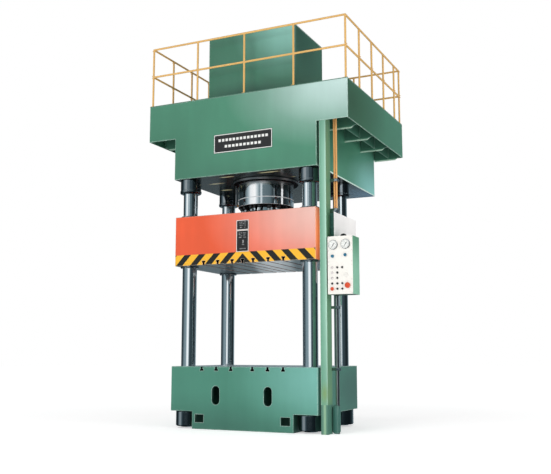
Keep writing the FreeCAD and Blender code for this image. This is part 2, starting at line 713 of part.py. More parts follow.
crown_bores = new_sketch(crown, "XY_Plane", "Size.crown_bottom")
for side, row in column_places:
    across, along, _ = column_spot(side, row, "0")
    draw_circle(crown_bores, across, along, column_bore)
draw_circle(crown_bores, "0", "0", "Size.barrel_diameter / 2 + Size.fit")
pocket(crown, crown_bores, "Size.crown_height", reverse=True)
register(crown, "crown_beam")

# One flush T-shaped plate closes the front of crown and platform.
fascia = new_body("front_fascia")
tee = new_sketch(fascia, "XZ_Plane", half_depth)
crown_half = "Size.crown_width / 2"
tee_corners = [
    (crown_half, "Size.crown_bottom"),
    (crown_half, "Size.platform_bottom"),
    (platform_side, "Size.platform_bottom"),
    (platform_side, under_deck),
]
draw_outline(tee, tee_corners + [("-" + across, up) for across, up in reversed(tee_corners)])
tee_plate = pad(fascia, tee, "Size.fascia_thickness", reverse=True)
chamfer(fascia, tee_plate, edges_in_plane(tee_plate.Shape, "y", -number(half_depth)), "Size.edge")
register(fascia, "front_fascia")

# ---------------------------------------------------------------- platform

# A side frame: skirt, gussets that hang a little below it, and a plate along the middle.
skirt_inner = "(Size.platform_width / 2 - Size.skirt_thickness)"
skirt_back = "(%s - Size.skirt_thickness)" % platform_rear
gusset_start = "(%s + Size.gusset_first)" % front
gusset_step = "((%s - %s - Size.gusset_last) / (Size.gusset_count - 1))" % (skirt_back, gusset_start)
stiffener = "(Size.crown_width / 2 + (Size.platform_width - Size.crown_width) / 4)"


def side_frame(side):
    body = new_body("side_frame")
    skirt = new_sketch(body, "XY_Plane", "Size.platform_bottom")
    draw_rectangle(skirt, "%d * %s" % (side, skirt_inner), "%d * %s" % (side, platform_side),
                   behind_fascia, skirt_back)
    middle = "%d * %s" % (side, stiffener)
    draw_rectangle(skirt, middle + " - Size.gusset_thickness / 2", middle + " + Size.gusset_thickness / 2",
                   gusset_start, skirt_back)
    sides = pad(body, skirt, under_deck + " - Size.platform_bottom")
    sides.Label = "skirt and stiffener"
    low = "(Size.platform_bottom - Size.gusset_drop)"
    section = [
        (crown_half, low),
        (skirt_inner + " - Size.gusset_toe", low),
        (skirt_inner + " - Size.gusset_drop", "Size.platform_bottom"),
        (skirt_inner, "Size.platform_bottom"),
        (skirt_inner, under_deck),
        (crown_half, under_deck),
    ]
    for step in range(int(number("Size.gusset_count"))):
        spot = "-(%s + %d * %s)" % (gusset_start, step, gusset_step)
        gusset = new_sketch(body, "XZ_Plane", spot)
        draw_outline(gusset, [("%d * (%s)" % (side, across), up) for across, up in section])
        pad(body, gusset, "Size.gusset_thickness", reverse=True)
    return body


register(group("side_frames", [side_frame(side) for side in (-1, 1)]), "platform_sides")

# The rear frame: a skirt between the side frames with short brackets to the carrier.
rear_skirt = box("rear_skirt", ("-(%s)" % platform_side, skirt_back, "Size.platform_bottom"),
                 (platform_side, platform_rear, under_deck))
rear_brackets = []
for step in (-2, -1, 0, 1, 2):
    across = "%d * (Size.crown_width / 4 - Size.carrier_plate)" % step
    rear_brackets.append(box("rear_bracket", (across + " - Size.gusset_thickness / 2", carrier_back,
                                              "Size.platform_bottom"),
                             (across + " + Size.gusset_thickness / 2", skirt_back, under_deck)))
register(fuse("rear_frame", [rear_skirt] + rear_brackets), "platform_rear")

# The deck has a hole for the prefill valve and one for the pressure pipe behind the tank.
riser_radius = "Size.riser_tube / 2"
riser_place = "(-Size.tank_front + Size.tank_depth + Size.riser_behind)"
throat = "Size.prefill_neck / 2"
deck = box("deck", ("-(%s)" % platform_side, front, under_deck),
           (platform_side, platform_rear, "Size.deck_level"))
deck_cuts = [rod("deck_hole", radius + " + Size.deck_gap", "Size.deck_thickness", ("0", along, under_deck))
             for radius, along in ((throat, "0"), (riser_radius, riser_place))]
register(cut("deck_with_holes", deck, deck_cuts), "deck_plate")

# ---------------------------------------------------------------- handrails

rail_radius = "Size.rail_diameter / 2"
rail_side = "(Size.platform_width / 2 - Size.rail_inset)"
rail_front = "(%s + Size.rail_inset)" % front
rail_rear = "(%s - Size.rail_inset)" % platform_rear


def rail_post(across, along):
    """A post with its square foot, up to the top rail."""
    half = "Size.foot_plate / 2"
    foot = box("rail_foot", (across + " - " + half, along + " - " + half, "Size.deck_level"),
               (across + " + " + half, along + " + " + half, "Size.deck_level + Size.foot_plate_thickness"))
    return [foot, rod("rail_post", rail_radius, "Size.rail_top", (across, along, "Size.deck_level"))]


def cross_rails(start, across, along, turn, length):
    """Top and middle rail from a start point."""
    return [rod("cross_rail", rail_radius, length, (across, along, "Size.deck_level + " + level), turn)
            for level in ("Size.rail_top", "Size.rail_middle")]


def end_rail(label, along):
    """The railing along the front or the back, with both corner posts."""
    pieces = cross_rails(label, "-" + rail_side, along, RIGHT, "2 * " + rail_side)
    bays = int(number("Size.rail_bays_front"))
    for step in range(bays + 1):
        pieces += rail_post("((%d * 2 / Size.rail_bays_front - 1) * %s)" % (step, rail_side), along)
    for side in (-1, 1):
        knuckle = doc.addObject("Part::Sphere", "corner")
        bind(knuckle, "Radius", rail_radius)
        corner = ("%d * %s" % (side, rail_side), along, "Size.deck_level + Size.rail_top")
        pieces.append(place(knuckle, corner))
    register(fuse(label + "_welded", pieces), label)


def side_rail(label, side):
    """The railing along one side, between the corner posts."""
    across = "%d * %s" % (side, rail_side)
    start = "(%s + %s + 2 * Size.fit)" % (rail_front, rail_radius)
    length = "%s - %s - Size.rail_diameter - 4 * Size.fit" % (rail_rear, rail_front)
    pieces = cross_rails(label, across, start, BACK, length)
    bays = int(number("(%s - %s) / Size.rail_bay_side - Size.rail_bay_least" % (rail_rear, rail_front)))
    for step in range(1, bays + 1):
        pieces += rail_post(across, "(%s + %d * Size.rail_bay_side)" % (rail_front, step))
    register(fuse(label + "_welded", pieces), label)


end_rail("railing_front", rail_front)
side_rail("railing_right", 1)
end_rail("railing_rear", rail_rear)
side_rail("railing_left", -1)

# ---------------------------------------------------------------- oil tank

tank_half = "Size.tank_width / 2"
tank_back = "(-Size.tank_front + Size.tank_depth)"
tank_top = "(Size.deck_level + Size.tank_height)"
tank_outside = box("tank_outside", ("-" + tank_half, "-Size.tank_front", "Size.deck_level"),
                   (tank_half, tank_back, tank_top))
tank_inside = box("tank_inside", ("-%s + Size.tank_wall" % tank_half, "-Size.tank_front + Size.tank_wall",
                                  "Size.deck_level + Size.tank_wall"),
                  ("%s - Size.tank_wall" % tank_half, tank_back + " - Size.tank_wall", tank_top + " + 1"))
tank_throat = rod("tank_throat", throat + " + Size.fit", "Size.tank_wall", ("0", "0", "Size.deck_level"))
register(cut("tank_shell", tank_outside, [tank_inside, tank_throat]), "oil_tank")

lid = box("lid", ("-" + tank_half, "-Size.tank_front", tank_top),
          (tank_half, tank_back, tank_top + " + Size.lid_thickness"))
filler_place = ("Size.tank_width / 4", tank_back + " - Size.filler_inset", tank_top)
filler_hole = rod("filler_hole", "Size.breather_neck / 2 + Size.fit", "Size.lid_thickness", filler_place)
register(cut("lid_plate", lid, [filler_hole]), "tank_lid")

# The filler is a flanged neck with a waist under its mushroom cap.
filler_neck, filler_base = "Size.breather_neck / 2", "Size.breather_base / 2"
filler_cap, on_lid = "Size.breather_cap / 2", "Size.lid_thickness"
filler_top = on_lid + " + Size.breather_height"
breather_profile = [
    ("0", "-Size.breather_dip"),
    (filler_neck, "-Size.breather_dip"),
    (filler_neck, on_lid),
    (filler_base, on_lid),
    (filler_base, on_lid + " + 10"),
    (filler_neck + " + 5", on_lid + " + 14"),
    (filler_neck + " + 5", on_lid + " + 30"),
    (filler_cap, on_lid + " + 40"),
    (filler_cap, filler_top + " - 12"),
    (filler_cap + " - 12", filler_top),
    ("0", filler_top),
]
register(turned("breather", breather_profile, filler_place), "filler_breather")

# ---------------------------------------------------------------- main cylinder

barrel_radius, bore_radius = "Size.barrel_diameter / 2", "Size.bore_diameter / 2"
ram_radius = "Size.ram_diameter / 2"
piston_bottom = "(%s + Size.spigot_height + Size.stroke + Size.piston_stop)" % gland_top
piston_top = "(%s + Size.piston_height)" % piston_bottom
bore_top = "(%s + Size.head_gap)" % piston_top
oil_way = "Size.oil_way / 2"
shoulder = "Size.shoulder_diameter / 2"
barrel_profile = [
    (bore_radius, gland_top),
    (barrel_radius, gland_top),
    (barrel_radius, "Size.crown_bottom - Size.shoulder_height"),
    (shoulder + " - Size.turned_edge", "Size.crown_bottom - Size.shoulder_height"),
    (shoulder, "Size.crown_bottom - Size.shoulder_height + Size.turned_edge"),
    (shoulder, "Size.crown_bottom"),
    (barrel_radius, "Size.crown_bottom"),
    (barrel_radius, barrel_top + " - Size.turned_edge"),
    (barrel_radius + " - Size.turned_edge", barrel_top),
    (oil_way, barrel_top),
    (oil_way, bore_top),
    (bore_radius, bore_top),
]
barrel = turned("barrel", barrel_profile)
gland_circle = "(Size.bore_diameter + Size.barrel_diameter) / 4"
tapped = new_sketch(barrel, "XY_Plane", gland_top)
first_screw = on_circle(gland_circle, 0, "Size.gland_bolts")
draw_circle(tapped, *first_screw, "Size.gland_bolt / 2 + Size.fit")
polar_pocket(barrel, tapped, "Size.bolt_bite + Size.turned_edge", "Size.gland_bolts", reverse=True)
riser_level = crown_top + " + Size.riser_level"
port_hole = rod("port_hole", riser_radius, barrel_radius, ("0", "0", riser_level), BACK)
register(cut("barrel_with_port", barrel, [port_hole]), "cylinder_barrel")

ring_nut_radius = "Size.shoulder_diameter / 2"
ring_nut_profile = [
    (barrel_radius + " + Size.fit", crown_top),
    (ring_nut_radius, crown_top),
    (ring_nut_radius, crown_top + " + Size.lock_nut_height - Size.turned_edge"),
    (ring_nut_radius + " - Size.turned_edge", crown_top + " + Size.lock_nut_height"),
    (barrel_radius + " + Size.fit", crown_top + " + Size.lock_nut_height"),
]
ring_nut = turned("ring_nut", ring_nut_profile)
spanner = new_sketch(ring_nut, "XY_Plane", crown_top + " + Size.lock_nut_height")
draw_rectangle(spanner, ring_nut_radius + " - Size.spanner_slot / 2", ring_nut_radius + " + 10",
               "-Size.spanner_slot / 2", "Size.spanner_slot / 2")
polar_pocket(ring_nut, spanner, "Size.lock_nut_height - Size.spanner_slot / 2", "6")
register(ring_nut, "cylinder_lock_nut")

# The gland closes the cylinder from below and guides the ram.
spigot_radius = bore_radius + " - Size.fit"
gland_profile = [
    (ram_radius + " + Size.fit", barrel_bottom),
    (barrel_radius + " - Size.turned_edge", barrel_bottom),
    (barrel_radius, barrel_bottom + " + Size.turned_edge"),
    (barrel_radius, gland_top),
    (spigot_radius, gland_top),
    (spigot_radius, gland_top + " + Size.spigot_height"),
    (ram_radius + " + Size.fit", gland_top + " + Size.spigot_height"),
]
gland = turned("gland", gland_profile)
gland_holes = new_sketch(gland, "XY_Plane", barrel_bottom)
draw_circle(gland_holes, *first_screw, "Size.gland_bolt / 2 + Size.bolt_gap")
polar_pocket(gland, gland_holes, "Size.gland_height", "Size.gland_bolts", reverse=True)
register(gland, "cylinder_gland")


def screw_circle(name, thread, through, radius, count, face, upward):
    """A ring of hexagon screws whose heads sit on a face; upward is 1 or -1."""
    screws = []
    for step in range(int(number(count))):
        across, along = on_circle(radius, step, count)
        low_head = "%s - %s" % (face, thread) if upward > 0 else face
        low_shank = face if upward > 0 else "%s - %s - Size.bolt_bite" % (face, through)
        head = doc.addObject("Part::Prism", name + "_head")
        head.Polygon = 6
        bind(head, "Circumradius", "0.87 * " + thread)
        bind(head, "Height", thread)
        place(head, (across, along, low_head))
        shank = rod(name + "_shank", thread + " / 2", through + " + Size.bolt_bite",
                    (across, along, low_shank))
        screws.append(fuse(name, [head, shank]))
    return screws


gland_screws = screw_circle("gland_screw", "Size.gland_bolt", "Size.gland_height", gland_circle,
                            "Size.gland_bolts", barrel_bottom, 1)
register(group("gland_screws", gland_screws), "gland_bolts")

# The prefill valve lets oil from the tank into the cylinder while the slide drops. Its
# foot sits on the cylinder, its flange seals on the tank floor, its cage stands in the oil.
valve_foot, valve_neck = "Size.prefill_foot / 2", "Size.prefill_neck / 2"
valve_seat, valve_cage, valve_cap = "Size.prefill_seat / 2", "Size.prefill_cage / 2", "Size.prefill_cap / 2"
tank_floor = "Size.deck_level + Size.tank_wall"
valve_top = "Size.deck_level + Size.prefill_height"
valve_profile = [
    ("0", barrel_top),
    (valve_foot, barrel_top),
    (valve_foot, barrel_top + " + Size.prefill_plate"),
    (valve_neck, barrel_top + " + Size.prefill_plate"),
    (valve_neck, tank_floor),
    (valve_seat, tank_floor),
    (valve_seat, tank_floor + " + Size.prefill_plate"),
    (valve_cage, tank_floor + " + Size.prefill_plate"),
    (valve_cage, valve_top + " - 2 * Size.prefill_plate"),
    (valve_cap, valve_top + " - 1.5 * Size.prefill_plate"),
    (valve_cap, valve_top + " - Size.prefill_plate"),
    (valve_cage + " / 2", valve_top),
    ("0", valve_top),
]
prefill = turned("prefill", valve_profile)
windows = new_sketch(prefill, "XY_Plane", tank_floor + " + 2 * Size.prefill_plate")
window_half = "Size.prefill_window / 2"
draw_rectangle(windows, valve_cage + " - " + window_half, valve_cage + " + " + window_half,
               "-" + window_half, window_half)
polar_pocket(prefill, windows, "Size.prefill_height - 6 * Size.prefill_plate", "8", reverse=True)
register(prefill, "prefill_valve")

# ---------------------------------------------------------------- power unit on the rear deck

motor_axis = "(Size.deck_level + Size.motor_level)"
motor_place = "(%s + Size.motor_behind)" % tank_back
frame_left = "(-Size.motor_left)"
frame_right = "(Size.motor_length - Size.motor_left)"
motor_radius = "Size.motor_diameter / 2"
bell_start = "(%s + Size.motor_rim)" % frame_right
pump_start = "(%s + Size.bell_length)" % bell_start
block_start = "(%s + Size.pump_length + Size.bell_rim)" % pump_start
port = "(%s + Size.port_length / 2)" % block_start
deck_under_axis = "(-Size.motor_level)"


def ribbed_outline(radius, fin, count):
    """A round frame with straight cooling fins, in the plane across the motor's axis."""
    corners = []
    for step in range(count):
        for share, reach in ((0.0, radius), (0.3, radius), (0.38, radius + fin), (0.92, radius + fin)):
            angle = 2 * math.pi * (step + share) / count
            corners.append(FreeCAD.Vector(0, reach * math.cos(angle), reach * math.sin(angle)))
    return Part.Face(Part.makePolygon(corners + corners[:1]))


def axle_rod(name, radius, start, length):
    """A round body on the motor's axis."""
    return rod(name, radius, length, (start, motor_place, motor_axis), RIGHT)


def axle_block(name, left, right, near, far, low, high):
    """A block placed from the motor's axis."""
    return box(name, (left, "%s + %s" % (motor_place, near), "%s + %s" % (motor_axis, low)),
               (right, "%s + %s" % (motor_place, far), "%s + %s" % (motor_axis, high)))


ribbed = ribbed_outline(number(motor_radius), number("Size.motor_fin"), int(number("Size.motor_fins")))
motor_frame = doc.addObject("Part::Feature", "motor_frame")
motor_frame.Shape = ribbed.extrude(FreeCAD.Vector(number("Size.motor_length"), 0, 0))
place(motor_frame, (frame_left, motor_place, motor_axis))
terminal_low, terminal_half = motor_radius + " - Size.terminal_seat", "Size.terminal_width / 2"
shield = motor_radius + " + Size.shield_lip"
motor_pieces = [
    motor_frame,
    axle_rod("drive_shield", shield, frame_right, "Size.motor_rim"),
    axle_rod("fan_shield", motor_radius, frame_left + " - Size.fan_shield", "Size.fan_shield"),
    axle_rod("fan_cowl", shield, frame_left + " - Size.fan_shield - Size.cowl_length", "Size.cowl_length"),
    axle_block("terminal_box", "-" + terminal_half, terminal_half, "-" + terminal_half, terminal_half,
               terminal_low, terminal_low + " + Size.terminal_height"),
]
foot_left, foot_right = frame_left + " + Size.foot_inset", frame_right + " - Size.foot_inset"
foot_top = deck_under_axis + " + Size.foot_height"
for side in (-1, 1):
    middle = "%d * Size.foot_pitch / 2" % side
    for name, width, low, high in (("motor_foot", "Size.foot_width", deck_under_axis, foot_top),
                                   ("foot_web", "Size.foot_web", foot_top, "-Size.foot_web")):
        motor_pieces.append(axle_block(name, foot_left, foot_right, "%s - %s / 2" % (middle, width),
                                       "%s + %s / 2" % (middle, width), low, high))
register(fuse("motor", motor_pieces), "pump_motor")

# The bell housing joins the pump to the motor; the port block carries its two necks.
port_half = "Size.port_block / 2"
bell_middle = "(%s + Size.bell_length / 2)" % bell_start
bell_radius, pump_radius = "Size.bell_diameter / 2", "Size.pump_diameter / 2"
suction_spot = (port, "%s - %s - Size.neck_length" % (motor_place, port_half), motor_axis)
pressure_spot = (port, motor_place, "%s + %s" % (motor_axis, port_half))
pump_pieces = [
    axle_rod("bell_flange", bell_radius + " + 2 * Size.bell_rim", bell_start, "Size.bell_rim"),
    axle_rod("bell_body", bell_radius, bell_start + " + Size.bell_rim",
             "Size.bell_length - 2 * Size.bell_rim"),
    axle_rod("pump_flange", pump_radius + " + Size.bell_rim / 2", pump_start + " - Size.bell_rim",
             "2 * Size.bell_rim"),
    axle_rod("pump_body", pump_radius, pump_start + " + Size.bell_rim", "Size.pump_length"),
    axle_block("port_block", block_start, block_start + " + Size.port_length",
               "-" + port_half, port_half, "-" + port_half, port_half),
    rod("suction_neck", "Size.suction_tube / 2 + Size.neck_wall", "Size.neck_length", suction_spot, BACK),
    rod("pressure_neck", "Size.pressure_tube / 2 + Size.neck_wall", "Size.neck_length", pressure_spot),
    axle_block("pump_foot", bell_middle + " - Size.foot_web", bell_middle + " + Size.foot_web",
               "-" + port_half, port_half, deck_under_axis, foot_top),
    axle_block("pump_leg", bell_middle + " - Size.foot_web / 2", bell_middle + " + Size.foot_web / 2",
               "-" + port_half, port_half, foot_top, "Size.bell_rim - " + bell_radius),
]
register(fuse("pump", pump_pieces), "hydraulic_pump")

# The valve block stands on legs beside the pump; three pilot valves sit on it.
manifold_left = "(-Size.manifold_left)"
manifold_right = "(Size.manifold_width - Size.manifold_left)"
manifold_middle = "(Size.manifold_width / 2 - Size.manifold_left)"
manifold_front = "(%s + Size.manifold_behind)" % riser_place
manifold_back = "(%s + Size.manifold_depth)" % manifold_front
manifold_low = "(Size.deck_level + Size.stand_height)"
manifold_high = "(%s + Size.manifold_height)" % manifold_low
stand_pieces = [box("manifold", (manifold_left, manifold_front, manifold_low),
                    (manifold_right, manifold_back, manifold_high))]
for left in (manifold_left, manifold_right + " - Size.stand_leg"):
    for near in (manifold_front, manifold_back + " - Size.stand_leg"):
        stand_pieces.append(box("stand_leg", (left, near, "Size.deck_level"),
                                (left + " + Size.stand_leg", near + " + Size.stand_leg", manifold_low)))
register(fuse("valve_stand", stand_pieces), "valve_block")


def pilot_valve(near):
    """A small valve body with a solenoid coil at either end."""
    body = box("pilot_body", (manifold_middle + " - Size.pilot_length / 2", near, manifold_high),
               (manifold_middle + " + Size.pilot_length / 2", near + " + Size.pilot_width",
                manifold_high + " + Size.pilot_height"))
    coils = rod("pilot_coils", "Size.coil_diameter / 2", "Size.coil_length",
                (manifold_middle + " - Size.coil_length / 2", near + " + Size.pilot_width / 2",
                 manifold_high + " + Size.pilot_height / 2"), RIGHT)
    return fuse("pilot_valve", [body, coils])


pilot_starts = ["%s + Size.pilot_inset + %d * Size.pilot_pitch" % (manifold_front, step)
                for step in range(3)]
register(group("pilot_valves", [pilot_valve(near) for near in pilot_starts]), "control_valves")


def tube_through(name, points, radius):
    """A tube along straight runs that are joined by tangent arcs."""
    bend = number("Size.tube_bend")
    corners = [FreeCAD.Vector(*[number(each) for each in point]) for point in points]
    edges, last = [], corners[0]
    for before, corner, after in zip(corners, corners[1:], corners[2:]):
        incoming = (corner - before).normalize()
        outgoing = (after - corner).normalize()
        half_turn = incoming.getAngle(outgoing) / 2
        arc_start = corner - incoming * bend * math.tan(half_turn)
        arc_end = corner + outgoing * bend * math.tan(half_turn)
        inward = (outgoing - incoming).normalize()
        arc_middle = corner + inward * (bend / math.cos(half_turn) - bend)
        edges.append(Part.LineSegment(last, arc_start).toShape())
        edges.append(Part.Arc(arc_start, arc_middle, arc_end).toShape())
        last = arc_end
    edges.append(Part.LineSegment(last, corners[-1]).toShape())
    section = Part.Wire(Part.Circle(corners[0], corners[1] - corners[0], number(radius)).toShape())
    made = doc.addObject("Part::Feature", name)
    made.Shape = Part.Wire(edges).makePipeShell([section], True, False)
    return made


pressure_level = motor_axis + " + Size.pressure_rise"
block_port = manifold_right + " - Size.manifold_width / 10"
pressure_line = tube_through("pressure_line", [
    (port, motor_place, "%s + %s + Size.neck_length" % (motor_axis, port_half)),
    (port, motor_place, pressure_level),
    (block_port, motor_place, pressure_level),
    (block_port, motor_place, manifold_high),
], "Size.pressure_tube / 2")
suction_length = "%s - %s - Size.neck_length - %s" % (motor_place, port_half, tank_back)
suction_line = rod("suction_line", "Size.suction_tube / 2", suction_length,
                   (port, tank_back, motor_axis), BACK)
register(group("pump_lines", [pressure_line, suction_line]), "pump_pipes")

valve_port_level = "(%s + Size.manifold_height / 2)" % manifold_low
register(tube_through("cylinder_line", [
    ("0", barrel_radius, riser_level),
    ("0", riser_place, riser_level),
    ("0", riser_place, valve_port_level),
    (manifold_middle, riser_place, valve_port_level),
    (manifold_middle, manifold_front, valve_port_level),
], riser_radius), "cylinder_pipe")

# ---------------------------------------------------------------- control post

post_left = "(Size.bed_width / 2 + Size.post_gap)"
post_right = "(Size.bed_width / 2 + Size.post_gap + Size.post_width)"
post_front = behind_fascia
post_back = "(%s + Size.post_depth)" % behind_fascia
post_tube = box("post_tube", (post_left, post_front, "0"), (post_right, post_back, under_deck))
post_hollow = box("post_hollow",
                  (post_left + " + Size.post_wall", post_front + " + Size.post_wall", "Size.post_foot"),
                  (post_right + " - Size.post_wall", post_back + " - Size.post_wall", under_deck + " + 1"))
register(cut("post", post_tube, [post_hollow]), "control_post")

box_left = "(%s + Size.box_gap)" % post_right
box_right = "(%s + Size.box_width)" % box_left
box_front = front
box_back = "(%s + Size.box_depth)" % front
box_top = "(Size.box_level + Size.box_height)"

line_places = ["(%s + Size.pipe_offset + %d * Size.pipe_pitch)" % (post_right, step) for step in (0, 1)]
line_depth = "(%s + Size.pipe_setback)" % post_front
copper_lines = [rod("copper_line", "Size.pipe_diameter / 2", under_deck + " - " + box_top,
                    (across, line_depth, box_top)) for across in line_places]
register(group("copper_lines", copper_lines), "copper_pipes")

conduit_place = "(%s + Size.pipe_offset + Size.pipe_pitch / 2)" % post_right
conduit_outer = rod("conduit_outer", "Size.conduit_diameter / 2", "Size.box_level",
                    (conduit_place, line_depth, "0"))
conduit_inner = rod("conduit_inner", "Size.conduit_diameter / 2 - Size.conduit_wall", "Size.box_level + 2",
                    (conduit_place, line_depth, "-1"))
register(cut("conduit", conduit_outer, [conduit_inner]), "cable_conduit")


def clamp(level, holes):
    """A block that holds lines to the post's side, on a flat arm."""
    low, high = level + " - Size.clamp_height / 2", level + " + Size.clamp_height / 2"
    left, right = conduit_place + " - Size.clamp_width / 2", conduit_place + " + Size.clamp_width / 2"
    near, far = line_depth + " - Size.clamp_depth / 2", line_depth + " + Size.clamp_depth / 2"
    arm = box("clamp_arm", (post_right, near, low), (conduit_place, near + " + Size.clamp_arm", high))
    jaw = box("clamp_jaw", (left, near, low), (right, far, high))
    bores = [rod("clamp_bore", radius + " + Size.fit", "Size.clamp_height + 2",
                 (across, line_depth, low + " - 1")) for across, radius in holes]
    return cut("clamp", fuse("clamp_body", [arm, jaw]), bores)


line_holes = [(across, "Size.pipe_diameter / 2") for across in line_places]
conduit_hole = [(conduit_place, "Size.conduit_diameter / 2")]
line_run = "(%s - %s)" % (under_deck, box_top)
LINE_CLAMPS = (0.18, 0.37)       # shares of the lines' run, from the box up
CONDUIT_CLAMPS = (0.46, 0.91)    # shares of the conduit's height
clamps = [clamp("(%s + %g * %s)" % (box_top, share, line_run), line_holes) for share in LINE_CLAMPS]
clamps += [clamp("(%g * Size.box_level)" % share, conduit_hole) for share in CONDUIT_CLAMPS]
register(group("clamps", clamps), "pipe_clamps")

# The side guard is a folded cream sheet outside the lines, above and behind the box.
guard_inner = "(%s + Size.guard_gap)" % line_places[1]
guard_outer = guard_inner + " + Size.guard_sheet"
guard_start = "(%s + Size.guard_set)" % box_front
guard_end = "(%s + Size.guard_length)" % guard_start
folded = guard_inner + " - Size.guard_fold"
guard_pieces = [
    box("guard_upper", (guard_inner, guard_start, box_top), (guard_outer, guard_end, "Size.guard_top")),
    box("guard_lower", (guard_inner, box_back, "Size.guard_bottom"),
        (guard_outer, guard_end, "Size.guard_top")),
    box("guard_top_fold", (folded, line_depth + " + Size.guard_arm", "Size.guard_top - Size.guard_sheet"),
        (guard_outer, guard_end, "Size.guard_top")),
    box("guard_end_fold", (folded, guard_end + " - Size.guard_sheet", "Size.guard_bottom"),
        (guard_outer, guard_end, "Size.guard_top")),
]
arm_levels = ["(Size.guard_top - Size.guard_arm - %d * (Size.guard_top - %s) / 2)" % (step, box_top)
              for step in (0, 1)]
for level in arm_levels:
    near, high = post_back + " - Size.guard_arm", level + " + Size.guard_arm"
    guard_pieces.append(box("guard_arm", (post_right, near, level),
                            (guard_inner, near + " + Size.clamp_arm", high)))
register(fuse("guard", guard_pieces), "side_guard")

# ---------------------------------------------------------------- control box

shell_outside = box("shell_outside", (box_left, box_front + " + Size.panel_thickness", "Size.box_level"),
                    (box_right, box_back, box_top))
inner_corner = (box_right + " - Size.box_wall", box_back + " - Size.box_wall", box_top + " - Size.box_wall")
shell_inside = box("shell_inside", (box_left + " + Size.box_wall", box_front, "Size.box_level + Size.box_wall"),
                   inner_corner)
hanger_near = "(%s + Size.hanger_width / 2)" % post_front
hanger_levels = ("Size.box_level + Size.hanger_inset", box_top + " - Size.hanger_inset")
hangers = [box("hanger", (post_right, hanger_near, level + " - Size.hanger_height / 2"),
               (box_left, hanger_near + " + Size.hanger_width", level + " + Size.hanger_height / 2"))
           for level in hanger_levels]
shell = cut("shell", shell_outside, [shell_inside])
register(fuse("box_with_hangers", [shell] + hangers), "control_box")


def panel_spot(across, down, forward="0"):
    """A place on the panel, from its left edge and top edge, as shares of its size."""
    return ("%s + %s * Size.box_width" % (box_left, across), "%s - (%s)" % (box_front, forward),
            "%s - %s * Size.box_height" % (box_top, down))


COLUMNS_ON_PANEL = (0.178, 0.386, 0.584)
ROWS_ON_PANEL = (0.541, 0.631, 0.723, 0.816, 0.908)
BUTTON_NAMES = {
    (1, 0): "button_motor_start", (2, 0): "button_motor_stop", (1, 1): "button_pump_load",
    (1, 2): "button_pressure", (0, 3): "button_slide_down", (1, 3): "button_slide_up",
    (2, 3): "button_press_hold", (1, 4): "button_cushion_up", (2, 4): "button_cushion_down",
}
LAMP_PLACES = [(0, 0), (0, 1), (0, 2)]
GAUGES = {"left": (0.223, 0.147), "right": (0.72, 0.142)}
KNOBS = {"left": (0.198, 0.345), "right": (0.709, 0.331)}
STOP_PLACE = (COLUMNS_ON_PANEL[0], ROWS_ON_PANEL[4])
EMERGENCY_PLACE = (0.798, 0.853)
stem_hole = "Size.button_stem / 2 + 0.5"
gauge_case_radius = "(Size.gauge_diameter / 2 - 5)"


def on_grid(column, line):
    return COLUMNS_ON_PANEL[column], ROWS_ON_PANEL[line]


panel = new_body("panel")
panel_outline = new_sketch(panel, "XZ_Plane", "-(%s + Size.panel_thickness)" % box_front)
draw_rectangle(panel_outline, box_left, box_right, "Size.box_level", box_top)
for places, hole in (([on_grid(*key) for key in BUTTON_NAMES], stem_hole),
                     ([on_grid(*key) for key in LAMP_PLACES], stem_hole),
                     (GAUGES.values(), gauge_case_radius + " + Size.fit"),
                     (KNOBS.values(), "Size.knob_spindle / 2 + Size.fit"),
                     ([STOP_PLACE, EMERGENCY_PLACE], stem_hole)):
    for across, down in places:
        x_place, _, z_place = panel_spot(across, down)
        draw_circle(panel_outline, x_place, z_place, hole)
pad(panel, panel_outline, "Size.panel_thickness")
seam = new_sketch(panel, "XZ_Plane", "-(%s)" % box_front)
seam_level = "%s - 0.46 * Size.box_height" % box_top
draw_rectangle(seam, box_left + " + 4", box_right + " - 4", seam_level + " - 1.5", seam_level + " + 1.5")
pocket(panel, seam, "1")
register(panel, "control_panel")

# Each pressure gauge is a case with a bezel, a glass and a pointer on a spindle.
gauge_bezel = "Size.gauge_diameter / 2"
dial_edge = "Size.gauge_diameter / 2 - Size.gauge_rim"
dial_face, bezel_height, pin = "0.5", "Size.gauge_bezel", "Size.gauge_pin / 2"
case_profile = [
    ("0", "-Size.gauge_depth"),
    (gauge_case_radius, "-Size.gauge_depth"),
    (gauge_case_radius, "0"),
    (gauge_bezel, "0"),
    (gauge_bezel, bezel_height + " - 5"),
    (gauge_bezel + " - 4", bezel_height),
    (dial_edge, bezel_height),
    (dial_edge, dial_face),
    (pin, dial_face),
    (pin, "6"),
    ("0", "6"),
]
glass_edge = dial_edge + " - Size.fit"
glass_profile = [("0", "9"), (glass_edge, "9"), (glass_edge, "12"), ("0", "12")]
cases = [turned("gauge_case", case_profile, panel_spot(*spot), FRONT) for spot in GAUGES.values()]
glasses = [turned("gauge_glass", glass_profile, panel_spot(*spot), FRONT) for spot in GAUGES.values()]
register(group("cases", cases), "gauge_cases")
register(group("glasses", glasses), "gauge_glasses")

# A pointer is a thin needle with a broad tail; at rest it points to the lower left.
zero_angle = 35
for side, spot in GAUGES.items():
    pointer = new_body("pointer")
    needle = new_sketch(pointer, "XY_Plane", "3")
    draw_outline(needle, [("-2", "-48"), ("2", "-48"), ("5", "4"), ("9", "26"), ("-9", "26"), ("-5", "4")])
    draw_circle(needle, "0", "0", pin + " + Size.fit")
    pad(pointer, needle, "1.5")
    tilt = FreeCAD.Rotation(FreeCAD.Vector(1, 0, 0), 90).multiply(
        FreeCAD.Rotation(FreeCAD.Vector(0, 0, 1), -zero_angle))
    place(pointer, panel_spot(*spot))
    pointer.Placement = FreeCAD.Placement(pointer.Placement.Base, tilt)
    register(pointer, "pointer_" + side)

